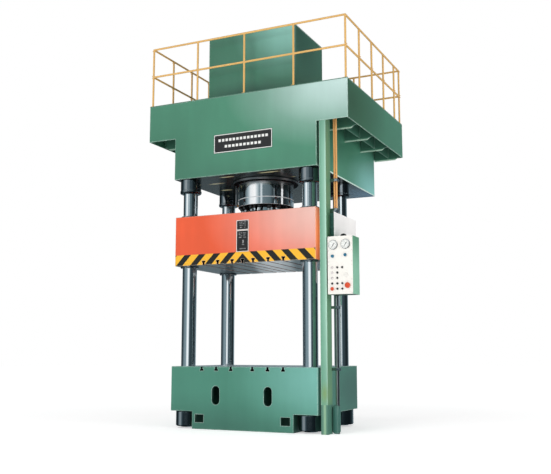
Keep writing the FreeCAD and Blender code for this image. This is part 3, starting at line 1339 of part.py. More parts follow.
spindle, knob_radius = "Size.knob_spindle / 2", "Size.knob_diameter / 2"
knob_profile = [
    ("0", "-20"),
    (spindle, "-20"),
    (spindle, "1"),
    (knob_radius + " - 1", "1"),
    (knob_radius, "3"),
    (knob_radius + " - 3", "Size.knob_height - 3"),
    (knob_radius + " - 6", "Size.knob_height"),
    ("0", "Size.knob_height"),
]
for side, spot in KNOBS.items():
    knob = turned("knob", knob_profile, panel_spot(*spot), FRONT)
    grip = new_sketch(knob, "XY_Plane", "8")
    draw_circle(grip, knob_radius + " + 3", "0", "7")
    polar_pocket(knob, grip, "Size.knob_height", "6", reverse=True)
    register(knob, "knob_" + side)

stem, head_radius = "Size.button_stem / 2", "Size.button_diameter / 2"
lamp_profile = [
    ("0", "-Size.button_reach"),
    (stem, "-Size.button_reach"),
    (stem, "0"),
    (head_radius, "0"),
    (head_radius, "3"),
    (head_radius + " - 3", "5"),
    (head_radius + " - 4", "Size.lamp_height - 5"),
    (head_radius + " - 8", "Size.lamp_height - 1"),
    ("0", "Size.lamp_height"),
]
lamps = [turned("lamp", lamp_profile, panel_spot(*on_grid(*key)), FRONT) for key in LAMP_PLACES]
register(group("lamps", lamps), "pilot_lamps")

head_low = "(Size.button_travel + 1)"
head_high = "(Size.button_travel + 1 + Size.button_head)"
button_profile = [
    ("0", "-Size.button_reach"),
    (stem, "-Size.button_reach"),
    (stem, head_low),
    (head_radius + " - 1", head_low),
    (head_radius, head_low + " + 1"),
    (head_radius, head_high + " - 2"),
    (head_radius + " - 2", head_high),
    ("0", head_high),
]
for key, label in BUTTON_NAMES.items():
    register(turned("button", button_profile, panel_spot(*on_grid(*key)), FRONT), label)


def mushroom(diameter, travel, height):
    """A mushroom head on its stem, standing clear of the panel by its travel."""
    radius, low = "Size.%s / 2" % diameter, "Size.%s + 2" % travel
    return [
        ("0", "-Size.button_reach"),
        (stem, "-Size.button_reach"),
        (stem, low),
        (radius + " - 3", low),
        (radius, low + " + 3"),
        (radius, "%s + 0.35 * Size.%s" % (low, height)),
        ("0.86 * " + radius, "%s + 0.72 * Size.%s" % (low, height)),
        ("0.5 * " + radius, "%s + 0.95 * Size.%s" % (low, height)),
        ("0", "%s + Size.%s" % (low, height)),
    ]


stop_profile = mushroom("stop_diameter", "stop_travel", "stop_height")
register(turned("stop", stop_profile, panel_spot(*STOP_PLACE), FRONT), "button_cycle_stop")
emergency_profile = mushroom("emergency_diameter", "emergency_travel", "emergency_height")
register(turned("emergency", emergency_profile, panel_spot(*EMERGENCY_PLACE), FRONT), "emergency_stop")

# ---------------------------------------------------------------- slide

slide = new_body("slide_block")
slide_face = new_sketch(slide, "XZ_Plane", "Size.slide_depth / 2")
slide_half = "Size.slide_width / 2"
draw_rectangle(slide_face, "-" + slide_half, slide_half, "Size.slide_bottom", slide_top)
slide_box = pad(slide, slide_face, "Size.slide_depth", reverse=True)
chamfer(slide, slide_box, edges_in_plane(slide_box.Shape, "y", -number("Size.slide_depth / 2")), "Size.edge")

slide_slots = new_sketch(slide, "XZ_Plane", "Size.slide_depth / 2")
for slot_place in slot_places + ["0"]:
    draw_outline(slide_slots, slot_outline(slot_place, "Size.slide_bottom", 1))
pocket(slide, slide_slots, "Size.slide_depth")

bush_radius = "(Size.column_diameter / 2 + Size.bush_wall)"
slide_bores = new_sketch(slide, "XY_Plane", "Size.slide_bottom")
for side, row in column_places:
    across, along, _ = column_spot(side, row, "0")
    draw_circle(slide_bores, across, along, bush_radius + " + Size.fit")
pocket(slide, slide_bores, "Size.slide_height", reverse=True)

# Cells open to the top lighten it; solid metal stays round the columns and under the ram.
slide_cells = new_sketch(slide, "XY_Plane", slide_top)
seat = "(Size.flange_diameter / 2 + Size.seat_margin)"
bore_edge = "(%s + Size.bore_margin)" % bush_radius
cell_side = "(Size.column_pitch_x / 2 - %s)" % bore_edge
cell_back = "(Size.slide_depth / 2 - Size.plate)"
for side in (-1, 1):
    for row in (-1, 1):
        draw_rectangle(slide_cells, "%d * %s" % (side, seat), "%d * %s" % (side, cell_side),
                       "%d * Size.plate / 2" % row, "%d * %s" % (row, cell_back))
    draw_rectangle(slide_cells, "%d * (%s + Size.plate)" % (side, cell_side),
                   "%d * (%s - Size.plate)" % (side, slide_half),
                   "%s - Size.column_pitch_y / 2" % bore_edge, "Size.column_pitch_y / 2 - %s" % bore_edge)
    draw_rectangle(slide_cells, "Size.plate - " + seat, seat + " - Size.plate",
                   "%d * %s" % (side, seat), "%d * %s" % (side, cell_back))
pocket(slide, slide_cells, "Size.slide_height - Size.slide_floor")

seat_threads = new_sketch(slide, "XY_Plane", slide_top)
flange_circle = "(Size.flange_diameter + Size.ram_diameter) / 4"
first_thread = on_circle(flange_circle, 0, "Size.flange_bolts")
draw_circle(seat_threads, *first_thread, "Size.flange_bolt / 2 + Size.fit")
polar_pocket(slide, seat_threads, "Size.bolt_bite + Size.turned_edge", "Size.flange_bolts")
register(slide, "slide_block")

# Flanged bushes guide the slide on the columns, four from below and four from above.
bush_profile = [
    (column_bore, "-Size.bush_flange_height"),
    ("Size.bush_flange / 2 - 4", "-Size.bush_flange_height"),
    ("Size.bush_flange / 2", "-Size.bush_flange_height + 4"),
    ("Size.bush_flange / 2", "0"),
    (bush_radius, "0"),
    (bush_radius, "Size.bush_length"),
    (column_bore, "Size.bush_length"),
]
bushes = []
for side, row in column_places:
    bushes.append(turned("bush", bush_profile, column_spot(side, row, "Size.slide_bottom")))
    bushes.append(turned("bush", bush_profile, column_spot(side, row, slide_top), UPSIDE_DOWN))
register(group("bushes", bushes), "guide_bushes")

# The ram and its piston are one forging, with ring grooves above and one deep groove at the
# foot, which the two halves of the flange grip.
piston_radius = "(Size.bore_diameter / 2 - Size.piston_clearance)"
groove_radius = piston_radius + " - Size.ring_depth"
grip_low = slide_top + " + Size.flange_height / 3"
grip_high = slide_top + " + Size.flange_height"
lip_radius = ram_radius + " - Size.flange_lip"
ram_profile = [
    ("0", slide_top),
    (ram_radius, slide_top),
    (ram_radius, grip_low),
    (lip_radius, grip_low),
    (lip_radius, grip_high + " + Size.fit"),
    (ram_radius, grip_high + " + Size.fit"),
    (ram_radius, piston_bottom),
    (piston_radius, piston_bottom),
]
ring_levels = ["%s + %d * Size.piston_height / 4" % (piston_bottom, step) for step in (1, 2, 3)]
for level in ring_levels:
    ram_profile += [
        (piston_radius, level + " - Size.fit"),
        (groove_radius, level + " - Size.fit"),
        (groove_radius, level + " + Size.ring_height + Size.fit"),
        (piston_radius, level + " + Size.ring_height + Size.fit"),
    ]
ram_profile += [(piston_radius, piston_top), ("0", piston_top)]
register(turned("ram_forging", ram_profile), "ram")

ring_inner, ring_outer = groove_radius + " + Size.fit", bore_radius + " - Size.fit"
rings = [turned("ring", ring_profile(ring_inner, ring_outer, level, level + " + Size.ring_height"))
         for level in ring_levels]
register(group("rings", rings), "piston_rings")

flange_profile = [
    (ram_radius + " + Size.fit", slide_top),
    ("Size.flange_diameter / 2", slide_top),
    ("Size.flange_diameter / 2", grip_high + " - Size.turned_edge"),
    ("Size.flange_diameter / 2 - Size.turned_edge", grip_high),
    (lip_radius + " + Size.fit", grip_high),
    (lip_radius + " + Size.fit", grip_low + " + Size.fit"),
    (ram_radius + " + Size.fit", grip_low + " + Size.fit"),
]
ram_flange = turned("ram_flange_ring", flange_profile)
flange_holes = new_sketch(ram_flange, "XY_Plane", slide_top)
draw_circle(flange_holes, *first_thread, "Size.flange_bolt / 2 + Size.bolt_gap")
polar_pocket(ram_flange, flange_holes, "Size.flange_height", "Size.flange_bolts", reverse=True)
split = box("flange_split", ("-Size.flange_diameter", "-Size.flange_split / 2", slide_top),
            ("Size.flange_diameter", "Size.flange_split / 2", grip_high))
register(cut("flange_halves", ram_flange, [split]), "ram_flange")

flange_screws = screw_circle("flange_screw", "Size.flange_bolt", "Size.flange_height", flange_circle,
                             "Size.flange_bolts", grip_high, -1)
register(group("flange_screws", flange_screws), "ram_flange_bolts")

# ---------------------------------------------------------------- plates

nameplate = box("nameplate", ("-Size.nameplate_width / 2", front + " - Size.plate_sheet",
                              "Size.nameplate_level - Size.nameplate_height / 2"),
                ("Size.nameplate_width / 2", front, "Size.nameplate_level + Size.nameplate_height / 2"))
register(nameplate, "crown_nameplate")

data_low = "(Size.slide_bottom + Size.data_level)"
data_middle = "(%s + Size.data_tall)" % data_low
data_upper = data_middle + " + Size.data_gap"
data_plates = [box("data_plate", ("-Size.data_width / 2", "-Size.slide_depth / 2 - Size.plate_sheet", low),
                   ("Size.data_width / 2", "-Size.slide_depth / 2", high))
               for low, high in ((data_low, data_middle), (data_upper, data_upper + " + Size.data_short"))]
register(group("data_plates", data_plates), "slide_plates")

# ---------------------------------------------------------------- check and write

doc.recompute()
for item in doc.Objects:
    if "Invalid" in item.State or "Error" in item.State:
        raise ValueError("%s is %s" % (item.Label, item.State))
for item in sub_parts:
    if item.Shape.isNull() or not item.Shape.isValid():
        raise ValueError(item.Label + " has no valid shape")
os.makedirs("parts", exist_ok=True)
for item in sub_parts:
    item.Shape.exportStep("parts/%s.step" % item.Label)
    print(item.Label, len(item.Shape.Solids), round(item.Shape.Volume / 1e9, 5))
print(len(sub_parts), "sub-parts")
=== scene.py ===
import math

import bmesh
import bpy
from mathutils import Matrix, Vector


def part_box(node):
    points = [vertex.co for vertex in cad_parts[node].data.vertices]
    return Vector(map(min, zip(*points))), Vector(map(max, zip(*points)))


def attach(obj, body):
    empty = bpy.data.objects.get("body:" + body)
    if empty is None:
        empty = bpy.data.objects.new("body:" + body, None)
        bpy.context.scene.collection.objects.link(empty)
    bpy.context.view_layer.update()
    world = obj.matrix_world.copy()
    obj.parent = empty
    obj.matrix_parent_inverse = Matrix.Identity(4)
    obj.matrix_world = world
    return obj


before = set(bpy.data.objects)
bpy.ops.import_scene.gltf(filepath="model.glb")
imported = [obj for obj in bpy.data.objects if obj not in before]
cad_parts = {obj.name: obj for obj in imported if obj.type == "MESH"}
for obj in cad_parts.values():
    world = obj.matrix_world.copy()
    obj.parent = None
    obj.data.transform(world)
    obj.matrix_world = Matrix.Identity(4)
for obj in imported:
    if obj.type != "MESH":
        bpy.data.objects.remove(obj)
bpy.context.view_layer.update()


# ---- Studio
# The press stands alone on a pale floor. Broad lights hang in front and at the right, and a low one
# lights the overhang from below. Grey strips round the room, and one beside the front-right column,
# draw the bands in the polished steel.

class Shade:
    """A value on its way through a shader; arithmetic with it adds Math nodes to the same tree."""

    def __init__(self, tree, socket=None):
        self.tree = tree
        self.socket = socket

    def node(self, kind, settings=None, inputs=None, out=0):
        """Adds a node: its settings or a ramp's stops first, then what goes into its sockets."""
        made = self.tree.nodes.new(kind)
        for key, value in (settings or {}).items():
            if key == "stops":
                made.color_ramp.elements.remove(made.color_ramp.elements[1])
                for count, (place, colour) in enumerate(value):
                    if count:
                        made.color_ramp.elements.new(place)
                    made.color_ramp.elements[count].position = place
                    made.color_ramp.elements[count].color = colour
            else:
                setattr(made, key, value)
        for key, value in (inputs or {}).items():
            if isinstance(value, Shade):
                self.tree.links.new(value.socket, made.inputs[key])
            elif value is not None:
                made.inputs[key].default_value = value
        return Shade(self.tree, made.outputs[out] if made.outputs else None)

    def parts(self):
        """The x, y and z of a vector."""
        split = self.node("ShaderNodeSeparateXYZ", inputs={0: self})
        return [Shade(self.tree, socket) for socket in split.socket.node.outputs]

    def maths(self, operation, *others):
        return self.node("ShaderNodeMath", {"operation": operation}, dict(enumerate((self,) + others)))

    def reversed_maths(self, operation, first):
        return self.node("ShaderNodeMath", {"operation": operation}, {0: first, 1: self})

    def vector(self, operation, *others, out="Vector"):
        return self.node("ShaderNodeVectorMath", {"operation": operation},
                         dict(enumerate((self,) + others)), out)

    def blend(self, first, second):
        """Two colours mixed by this value."""
        return self.node("ShaderNodeMix", {"data_type": "RGBA"}, {0: self, 6: first, 7: second}, 2)

    def coloured(self, colour):
        """This value multiplied by a colour."""
        settings = {"data_type": "RGBA", "blend_type": "MULTIPLY"}
        return self.node("ShaderNodeMix", settings, {0: 1.0, 6: self, 7: colour}, 2)

    def ramp(self, *stops, ease="LINEAR"):
        """This value sent through greys, each given as (place, grey)."""
        greys = [(place, (grey, grey, grey, 1)) for place, grey in stops]
        made = self.node("ShaderNodeValToRGB", {"stops": greys}, {0: self})
        made.socket.node.color_ramp.interpolation = ease
        return made

    def fade(self, *stops, ease="LINEAR"):
        """The same for a distance, with the places in metres."""
        reach = stops[-1][0]
        return (self / reach).ramp(*[(place / reach, grey) for place, grey in stops], ease=ease)

    def __add__(self, other):
        return self.maths("ADD", other)

    def __sub__(self, other):
        return self.maths("SUBTRACT", other)

    def __rsub__(self, other):
        return self.reversed_maths("SUBTRACT", other)

    def __mul__(self, other):
        return self.maths("MULTIPLY", other)

    def __truediv__(self, other):
        return self.maths("DIVIDE", other)

    def __rtruediv__(self, other):
        return self.reversed_maths("DIVIDE", other)

    def __gt__(self, other):
        return self.maths("GREATER_THAN", other)

    def __lt__(self, other):
        return self.maths("LESS_THAN", other)

    def __neg__(self):
        return self * -1

    def __abs__(self):
        return self.maths("ABSOLUTE")

    __radd__ = __add__
    __rmul__ = __mul__


def add_object(name, data):
    """Puts a new object into the scene."""
    made = bpy.data.objects.new(name, data)
    bpy.context.scene.collection.objects.link(made)
    return made


def softbox(name, place, target, width, height, watts, mirrored=False):
    """A soft rectangular lamp at place, turned to face target; mirrored shows it in polished steel."""
    lamp_data = bpy.data.lights.new(name, "AREA")
    lamp_data.shape = "RECTANGLE"
    lamp_data.size = width
    lamp_data.size_y = height
    lamp_data.energy = watts
    lamp = add_object(name, lamp_data)
    lamp.location = place
    lamp.rotation_euler = (Vector(target) - Vector(place)).to_track_quat("-Z", "Y").to_euler()
    lamp.visible_camera = False
    lamp.visible_glossy = mirrored


bpy.context.scene.view_settings.view_transform = "Standard"

camera_data = bpy.data.cameras.new("camera")
camera_data.sensor_fit = "HORIZONTAL"
camera_data.sensor_width = 36
camera_data.lens = 52.71
camera_data.clip_end = 200
camera = add_object("camera", camera_data)
camera.location = (5.98, -12.244, 1.21)
camera.rotation_euler = (math.radians(98.14), 0, math.radians(25.35))
bpy.context.scene.camera = camera

studio = bpy.data.worlds.new("studio")
studio.use_nodes = True
studio.node_tree.nodes.clear()
bpy.context.scene.world = studio
room = Shade(studio.node_tree)
east, north, height = room.node("ShaderNodeTexCoord", out="Generated").parts()
bearing = east.maths("ARCTAN2", -north) / math.tau + 0.5


def strips(*stops):
    """Greys round the room, each given as (bearing in degrees, grey)."""
    return bearing.ramp(*[((place + 180) / 360, grey) for place, grey in stops])


low_walls = strips(
    (-180, 0.5), (-150, 0.42), (-128, 0.12), (-105, 0.06), (-80, 0.05), (-60, 0.16), (-42, 0.3),
    (-18, 0.34), (-7, 0.5), (0, 1.0), (22, 1.1), (30, 0.5), (38, 0.13), (52, 0.06), (70, 0.07),
    (92, 0.03), (112, 0.02), (136, 0.04), (156, 0.2), (174, 0.45))
high_walls = strips(
    (-180, 0.4), (-154, 0.3), (-130, 0.08), (-108, 0.03), (-84, 0.05), (-64, 0.22), (-52, 0.5),
    (-42, 0.92), (-20, 1.05), (-13, 0.72), (-7, 0.52), (-2, 0.24), (2, 0.34), (5, 0.85), (9, 0.7),
    (12, 0.2), (24, 0.19), (42, 0.16), (54, 0.05), (100, 0.015), (114, 0.025), (132, 0.07),
    (150, 0.16), (166, 0.34))
ground = strips(
    (-180, 0.62), (-150, 0.52), (-122, 0.1), (-84, 0.04), (-72, 0.2), (-60, 0.85), (-42, 1.0),
    (-30, 0.3), (-18, 0.1), (20, 0.07), (50, 0.04), (100, 0.03), (135, 0.1), (160, 0.5))
walls = low_walls + height.ramp((0.11, 0), (0.16, 1)) * (high_walls - low_walls)
overhead = height.ramp((0.55, 0), (0.75, 1))
below = (-height).ramp((0.02, 0), (0.05, 1))
ground = ground * (-height).ramp((0.14, 1), (0.19, 0.24))
mirrored = walls + overhead * (0.8 - walls) + below * (ground - walls)
mirrored = mirrored.coloured(mirrored.blend((0.6, 0.92, 1.06, 1), (1, 1, 1, 1)))
ambient = (0.46, 0.46, 0.46, 1)
seen = room.node("ShaderNodeLightPath", out="Is Camera Ray")
glossy = room.node("ShaderNodeLightPath", out="Is Glossy Ray")
radiance = glossy.blend(ambient, mirrored)
backdrop = room.node("ShaderNodeBackground", inputs={"Color": seen.blend(radiance, (1, 1, 1, 1))})
room.node("ShaderNodeOutputWorld", inputs={"Surface": backdrop})

softbox("front_light", (-1.5, -11.0, 7.0), (0.0, 0.0, 3.0), 5.0, 4.0, 390)
softbox("low_right_light", (5.0, -4.5, 0.5), (1.6, 0.2, 4.8), 2.5, 2.5, 60)
softbox("right_light", (9.5, -3.0, 4.0), (1.4, 0.0, 3.0), 3.0, 3.0, 170)
softbox("column_light", (1.72, -0.1, 3.92), (1.157, 0.567, 3.85), 0.4, 0.84, 1.0, mirrored=True)


def piece(name, shape, finish, body="frame", angle=35):
    """Turns a bmesh into a named piece with its finish, riding on a body of the press."""
    mesh = bpy.data.meshes.new(name)
    bmesh.ops.recalc_face_normals(shape, faces=shape.faces)
    shape.to_mesh(mesh)
    shape.free()
    for face in mesh.polygons:
        face.use_smooth = True
    mesh.set_sharp_from_angle(angle=math.radians(angle))
    mesh.materials.append(finish)
    made = add_object(name, mesh)
    if body:
        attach(made, body)
    return made


def new_finish(name):
    """An empty material, and the place on the object that its nodes start from."""
    material = bpy.data.materials.new(name)
    material.use_nodes = True
    material.node_tree.nodes.clear()
    return material, Shade(material.node_tree).node("ShaderNodeTexCoord", out="Object")


def close_finish(place, colour, rough, normal=None, metallic=0.0, **constants):
    """Ends a material: the surface shader and its output."""
    sockets = {"Base Color": colour, "Roughness": rough, "Metallic": metallic, "Normal": normal}
    sockets.update({key.replace("_", " "): value for key, value in constants.items()})
    surface = place.node("ShaderNodeBsdfPrincipled", inputs=sockets)
    place.node("ShaderNodeOutputMaterial", inputs={"Surface": surface})


def clouds(place, size, detail=3, stretch=(1, 1, 1)):
    """Soft noise, 0 to 1, whose patches are about size metres across."""
    scaled = place.node("ShaderNodeMapping", inputs={"Vector": place, "Scale": stretch})
    return place.node("ShaderNodeTexNoise", inputs={"Vector": scaled, "Scale": 1 / size, "Detail": detail})


floor_radius = 60
floor_shape = bmesh.new()
bmesh.ops.create_circle(floor_shape, cap_ends=True, segments=64, radius=floor_radius)
floor_finish, place = new_finish("studio_floor")
floor_far = place.vector("LENGTH", out="Value").fade((2, 0.0), (9, 1.0), ease="EASE")
floor_tint = clouds(place, 3.0).blend((0.86, 0.86, 0.86, 1), (0.9, 0.9, 0.9, 1))
floor_glow = (0.5 + floor_far * 0.5).blend((0, 0, 0, 1), (1, 1, 1, 1))
close_finish(place, floor_far.blend(floor_tint, (0, 0, 0, 1)), 0.9,
             Emission_Color=floor_glow, Emission_Strength=1.0)
floor = piece("studio_floor", floor_shape, floor_finish, None)
floor.visible_glossy = False


# ---- Bed
# A welded box of thick plate, sprayed with green enamel over primer. Its table is planed bare steel
# with T-slots for the tools. Its edges carry a painted highlight in patches, and painted light and shade lie
# on it.

def tone(red, green, blue):
    """A colour given from 0 to 255, as the light values that a shader takes."""
    def linear(value):
        share = value / 255
        return share / 12.92 if share < 0.04045 else ((share + 0.055) / 1.055) ** 2.4
    return linear(red), linear(green), linear(blue), 1


def facing(place):
    """The x, y and z of the direction that the surface faces."""
    return place.node("ShaderNodeNewGeometry", out="True Normal").parts()


def edges(place, radius):
    """The surface's own normal with softened edges, and a mask that is 1 on the edges."""
    soft = place.node("ShaderNodeBevel", {"samples": 6}, {"Radius": radius})
    hard = place.node("ShaderNodeNewGeometry", out="True Normal")
    along = soft.vector("DOT_PRODUCT", hard, out="Value")
    return soft, (1 - along).ramp((0.015, 0), (0.12, 1))


def near(place, centre, radii, amount=1.0):
    """A mask that fades from amount at centre to nothing at an ellipsoid round it."""
    away = place.vector("SUBTRACT", centre).vector("DIVIDE", radii).vector("LENGTH", out="Value")
    return away.ramp((0.0, amount), (0.35, amount * 0.66), (0.7, amount * 0.2), (1.0, 0.0))


def overlay(colour, *layers):
    """A colour with others laid over it in turn, each given as (mask, colour)."""
    for mask, shade in layers:
        colour = mask.blend(colour, shade)
    return colour


def relief(height, depth, normal=None):
    """A bump from a height of 0 to 1, depth metres deep."""
    return height.node("ShaderNodeBump", inputs={
        "Height": height, "Distance": depth, "Strength": 1.0, "Normal": normal})


def enamel(place, colour, edge_highlight_tone, edge_size=0.02, shades=(), sheltered=None):
    """Sprayed enamel: clouding, runs, orange peel, painted edge highlights and painted light and shade."""
    soft, edge = edges(place, edge_size)
    # shades lays painted highlights and painted shade on the colour, each fading out round a centre.
    colour = overlay(colour, *[(near(place, centre, radii, amount), shade)
                               for centre, radii, shade, amount in shades])
    cloudy = clouds(place, 0.9)
    runs = clouds(place, 0.16, 2, (1, 1, 0.12))
    flat = cloudy.ramp((0.3, 0.93), (0.7, 1.05)) * runs.ramp((0.35, 0.97), (0.65, 1.02))
    coat = flat.coloured(colour)
    # Lighter edges: a painted highlight along every edge, broken into patches.
    rubbed = clouds(place, 0.05, 4).ramp((0.35, 0.55), (0.6, 1.0))
    edge_highlight = edge * rubbed * 0.9
    if sheltered:
        low, high, shade = sheltered
        inside = 1
        for part, start_at, end_at in zip(place.parts(), low, high):
            inside = (abs(part) > start_at) * (abs(part) < end_at) * inside
        # Painted shade inside the recess box, where the edge highlight is weaker too.
        coat = (inside * 0.6).blend(coat, shade)
        edge_highlight = edge_highlight * (1 - inside * 0.75)
    rough = 0.3 + cloudy * 0.1 + runs * 0.05
    peel = relief(clouds(place, 0.006, 2), 0.00012, soft)
    return edge_highlight.blend(coat, edge_highlight_tone), rough, peel


def dress(material, *names):
    """Gives CAD nodes their finish."""
    for name in names:
        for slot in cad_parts[name].material_slots:
            slot.material = material


def planed(place, stretch):
    """Planed steel: colour, roughness and height of the tool's fine lines, drawn out by stretch."""
    lines = clouds(place, 0.004, 3, stretch)
    passes = clouds(place, 0.05, 2, stretch)
    colour = passes.blend((0.56, 0.63, 0.66, 1), (0.84, 0.9, 0.92, 1))
    return colour, 0.28 + passes * 0.16, lines


pale_green = tone(206, 232, 220)

bed_finish, place = new_finish("bed_enamel")
# Painted light: a painted highlight on the right of the front, painted shade low on its left and on the
# right side.
bed_colour, bed_rough, bed_normal = enamel(place, tone(76, 139, 119), pale_green, shades=(
    ((1.4, -0.88, 0.85), (1.6, 0.1, 1.0), tone(130, 194, 184), 0.8),
    ((-0.4, -0.88, 0.1), (1.9, 0.3, 0.5), tone(66, 118, 102), 0.8),
    ((1.3, 0.6, 0.6), (0.03, 1.45, 0.9), tone(54, 88, 84), 0.85),
))
bed_low, bed_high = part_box("base_bed")
bed_x, bed_y, bed_z = place.parts()
bed_facing = facing(place)
slot_reach = 0.9
slot_depth = 0.075
in_slots = (abs(bed_x) < slot_reach) * (abs(bed_facing[1]) < 0.5)
in_slots = in_slots * (bed_z > bed_high.z - slot_depth) * (bed_z < bed_high.z - 0.002)
table = ((bed_facing[2] > 0.9) * (bed_z > bed_high.z - 0.08)).maths("MAXIMUM", in_slots)
# Painted shade: the inside of the T-slots is near black.
slot_shade = (0.01, 0.014, 0.014, 1)
steel_colour, steel_rough, steel_lines = planed(place, (0.02, 1, 1))
steel_colour = (in_slots * 0.92).blend(steel_colour, slot_shade)
# Darker towards the bottom, in patches.
darker_low = bed_z.ramp((0.0, 0.35), (0.25, 0.0)) * clouds(place, 0.25, 4)
skin = 0.004
# Painted shade on every face inside the bed's hollows.
hollow_shade = (bed_y < bed_high.y - skin) * (bed_y > bed_low.y + skin) * (abs(bed_x) < bed_high.x - skin)
hollow_shade = hollow_shade * (bed_z < bed_high.z - 0.09)
bed_colour = overlay(bed_colour, (darker_low, tone(52, 76, 70)), (hollow_shade * 0.75, tone(22, 42, 38)))
close_finish(place, table.blend(bed_colour, steel_colour),
             bed_rough + table * (steel_rough - bed_rough),
             relief(steel_lines * table, 0.0002, bed_normal), table * 0.9)
dress(bed_finish, "base_bed")


# ---- Columns and their nuts
# Four forged columns, turned, ground and hard chromed to a mirror with the grinding wheel's fine
# rings. Round nuts, blued black and oiled, hold them in bed and crown.

turning = (0.02, 0.02, 1)
chrome, place = new_finish("column_chrome")
chrome_tint = clouds(place, 0.4, 3, (1, 1, 0.4))
chrome_tint = chrome_tint.blend((0.763, 0.818, 0.846, 1), (0.82, 0.88, 0.91, 1))
chrome_film = clouds(place, 0.07, 3, (1, 1, 0.2)).ramp((0.45, 0), (0.8, 0.04))
chrome_rings = clouds(place, 0.003, 2, turning)
close_finish(place, chrome_tint, 0.05 + chrome_film + chrome_rings * 0.02,
             relief(chrome_rings, 0.00001, edges(place, 0.003)[0]), 1.0)
dress(chrome, "columns")

nut_finish, place = new_finish("blued_steel")
nut_soft, nut_edge = edges(place, 0.009)
nut_cloud = clouds(place, 0.12, 4)
nut_tint = nut_cloud.blend((0.22, 0.25, 0.27, 1), (0.3, 0.34, 0.36, 1))
in_bed = place.parts()[2] < 1
nut_tint = in_bed.blend(nut_tint, (0.21, 0.25, 0.27, 1))
nut_rings = clouds(place, 0.004, 2, turning)
close_finish(place, (nut_edge * 0.7).blend(nut_tint, (0.45, 0.5, 0.5, 1)),
             0.07 + nut_cloud * 0.05, relief(nut_rings, 0.00003, nut_soft), 1.0)
dress(nut_finish, "column_nuts", "crown_collar_nuts")


# ---- Crown
# A welded box like the bed, behind one flat plate that fronts the platform too. Its underside is glossy,
# with painted shade nearly black, painted glints and a painted bluish light at the rear right. Painted
# light and shade lie on its right side.

def lit_lower_edge(place, top, least, most):
    """A patchy mask of a lower edge, up to a height: a painted highlight along it."""
    return (place.parts()[2] < top) * clouds(place, 0.08, 3).ramp((0.3, least), (0.5, most))


green = tone(76, 139, 112)
crown_finish, place = new_finish("crown_enamel")
# Painted light low at the rear of the right side, painted shade near its front and under the platform.
crown_colour, crown_rough, crown_normal = enamel(place, green, pale_green, shades=(
    ((1.3, 1.9, 4.1), (0.4, 1.5, 0.85), tone(150, 216, 212), 0.95),
    ((1.3, -0.2, 4.9), (0.4, 1.7, 1.0), tone(52, 98, 78), 0.85),
), sheltered=((1.305, -1, 4.8), (1.818, 2.4, 5.45), tone(48, 78, 70)))
crown_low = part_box("crown_beam")[0]
crown_x, crown_y, crown_z = place.parts()
underside = (facing(place)[2] < -0.9) * (crown_z < crown_low.z + 0.02)
# Painted glints: light patches on the underside.
painted_glints = 0
for patch_x, patch_y, half_x, half_y in (
    (-0.385, -0.7, 0.17, 0.045), (-0.8, -0.3, 0.19, 0.05), (-0.91, 0.26, 0.14, 0.06),
    (0.415, -0.74, 0.24, 0.04), (0.63, -0.26, 0.06, 0.03),
):
    off_x = (crown_x - patch_x) / half_x
    off_y = (crown_y - patch_y) / half_y
    painted_glints = (off_x * off_x + off_y * off_y).ramp((0.1, 1), (1.0, 0), ease="EASE") + painted_glints
# Painted shade on the underside, nearly black, with a painted bluish light towards the rear right.
underside_shade = clouds(place, 0.3).blend((0.006, 0.011, 0.01, 1), (0.016, 0.026, 0.024, 1))
painted_blue_light = near(place, (1.3, 1.8, 4.1), (0.95, 1.25, 0.3), 0.7)
underside_shade = overlay(underside_shade, (painted_glints, tone(228, 226, 178)), (painted_blue_light, tone(92, 136, 168)))
# A painted highlight along the crown's lower edge.
lower_edge_light = lit_lower_edge(place, crown_low.z + 0.024, 0.55, 0.9)
crown_colour = lower_edge_light.blend(crown_colour, tone(214, 236, 226))
close_finish(place, underside.blend(crown_colour, underside_shade),
             crown_rough - underside * 0.12, crown_normal)
dress(crown_finish, "crown_beam")


def sprayed(name, *coat, over=None, duller=0.0, pits=None, **choices):
    """An enamelled finish; over gives the masks and shades that lie on it, pits a casting's grain."""
    finish, place = new_finish(name)
    colour, rough, peel = enamel(place, *coat, **choices)
    if over:
        colour = overlay(colour, *over(place))
    if pits:
        size, detail, depth = pits
        peel = relief(clouds(place, size, detail), depth, peel)
    close_finish(place, colour, rough + duller, peel)
    return finish


# Painted light: a painted highlight towards the upper right, painted shade on the left and along the foot.
dress(sprayed("fascia_enamel", tone(72, 134, 108), pale_green, shades=(
    ((1.95, -0.87, 5.48), (2.3, 0.3, 1.15), tone(204, 229, 225), 1.0),
    ((-1.7, -0.87, 4.6), (1.5, 0.5, 1.3), tone(60, 112, 90), 0.8),
    ((-0.3, -0.87, 4.05), (1.9, 0.5, 0.45), tone(64, 114, 95), 0.7),
)), "front_fascia")


# ---- Crown nameplate
# A black enamelled aluminium plate, screwed on at its corners. Its border and two rows of plain
# squares stand up from the enamel and are painted white.

rearward = Vector((0, 1, 0))


def add_box(shape, low, high, rounding=0):
    """Adds a box to a bmesh; rounding is the radius of its edges."""
    low, high = Vector(low), Vector(high)
    matrix = Matrix.Translation((low + high) / 2) @ Matrix.Diagonal((*(high - low), 1))
    corners = bmesh.ops.create_cube(shape, size=1.0, matrix=matrix)["verts"]
    if rounding:
        sides = list(dict.fromkeys(side for corner in corners for side in corner.link_edges))
        bmesh.ops.bevel(shape, geom=sides, offset=rounding, segments=3, affect="EDGES", profile=0.5)


def add_rim(shape, centre, turn, radius, rise, steps):
    """Adds the corners of a circle round an axis, or the one point where its radius is nothing."""
    if radius < 1e-6:
        return [shape.verts.new(Vector(centre) + turn @ Vector((0, 0, rise)))]
    angles = [math.tau * step / steps for step in range(steps)]
    return [shape.verts.new(Vector(centre) + turn @ Vector(
        (radius * math.cos(angle), radius * math.sin(angle), rise))) for angle in angles]


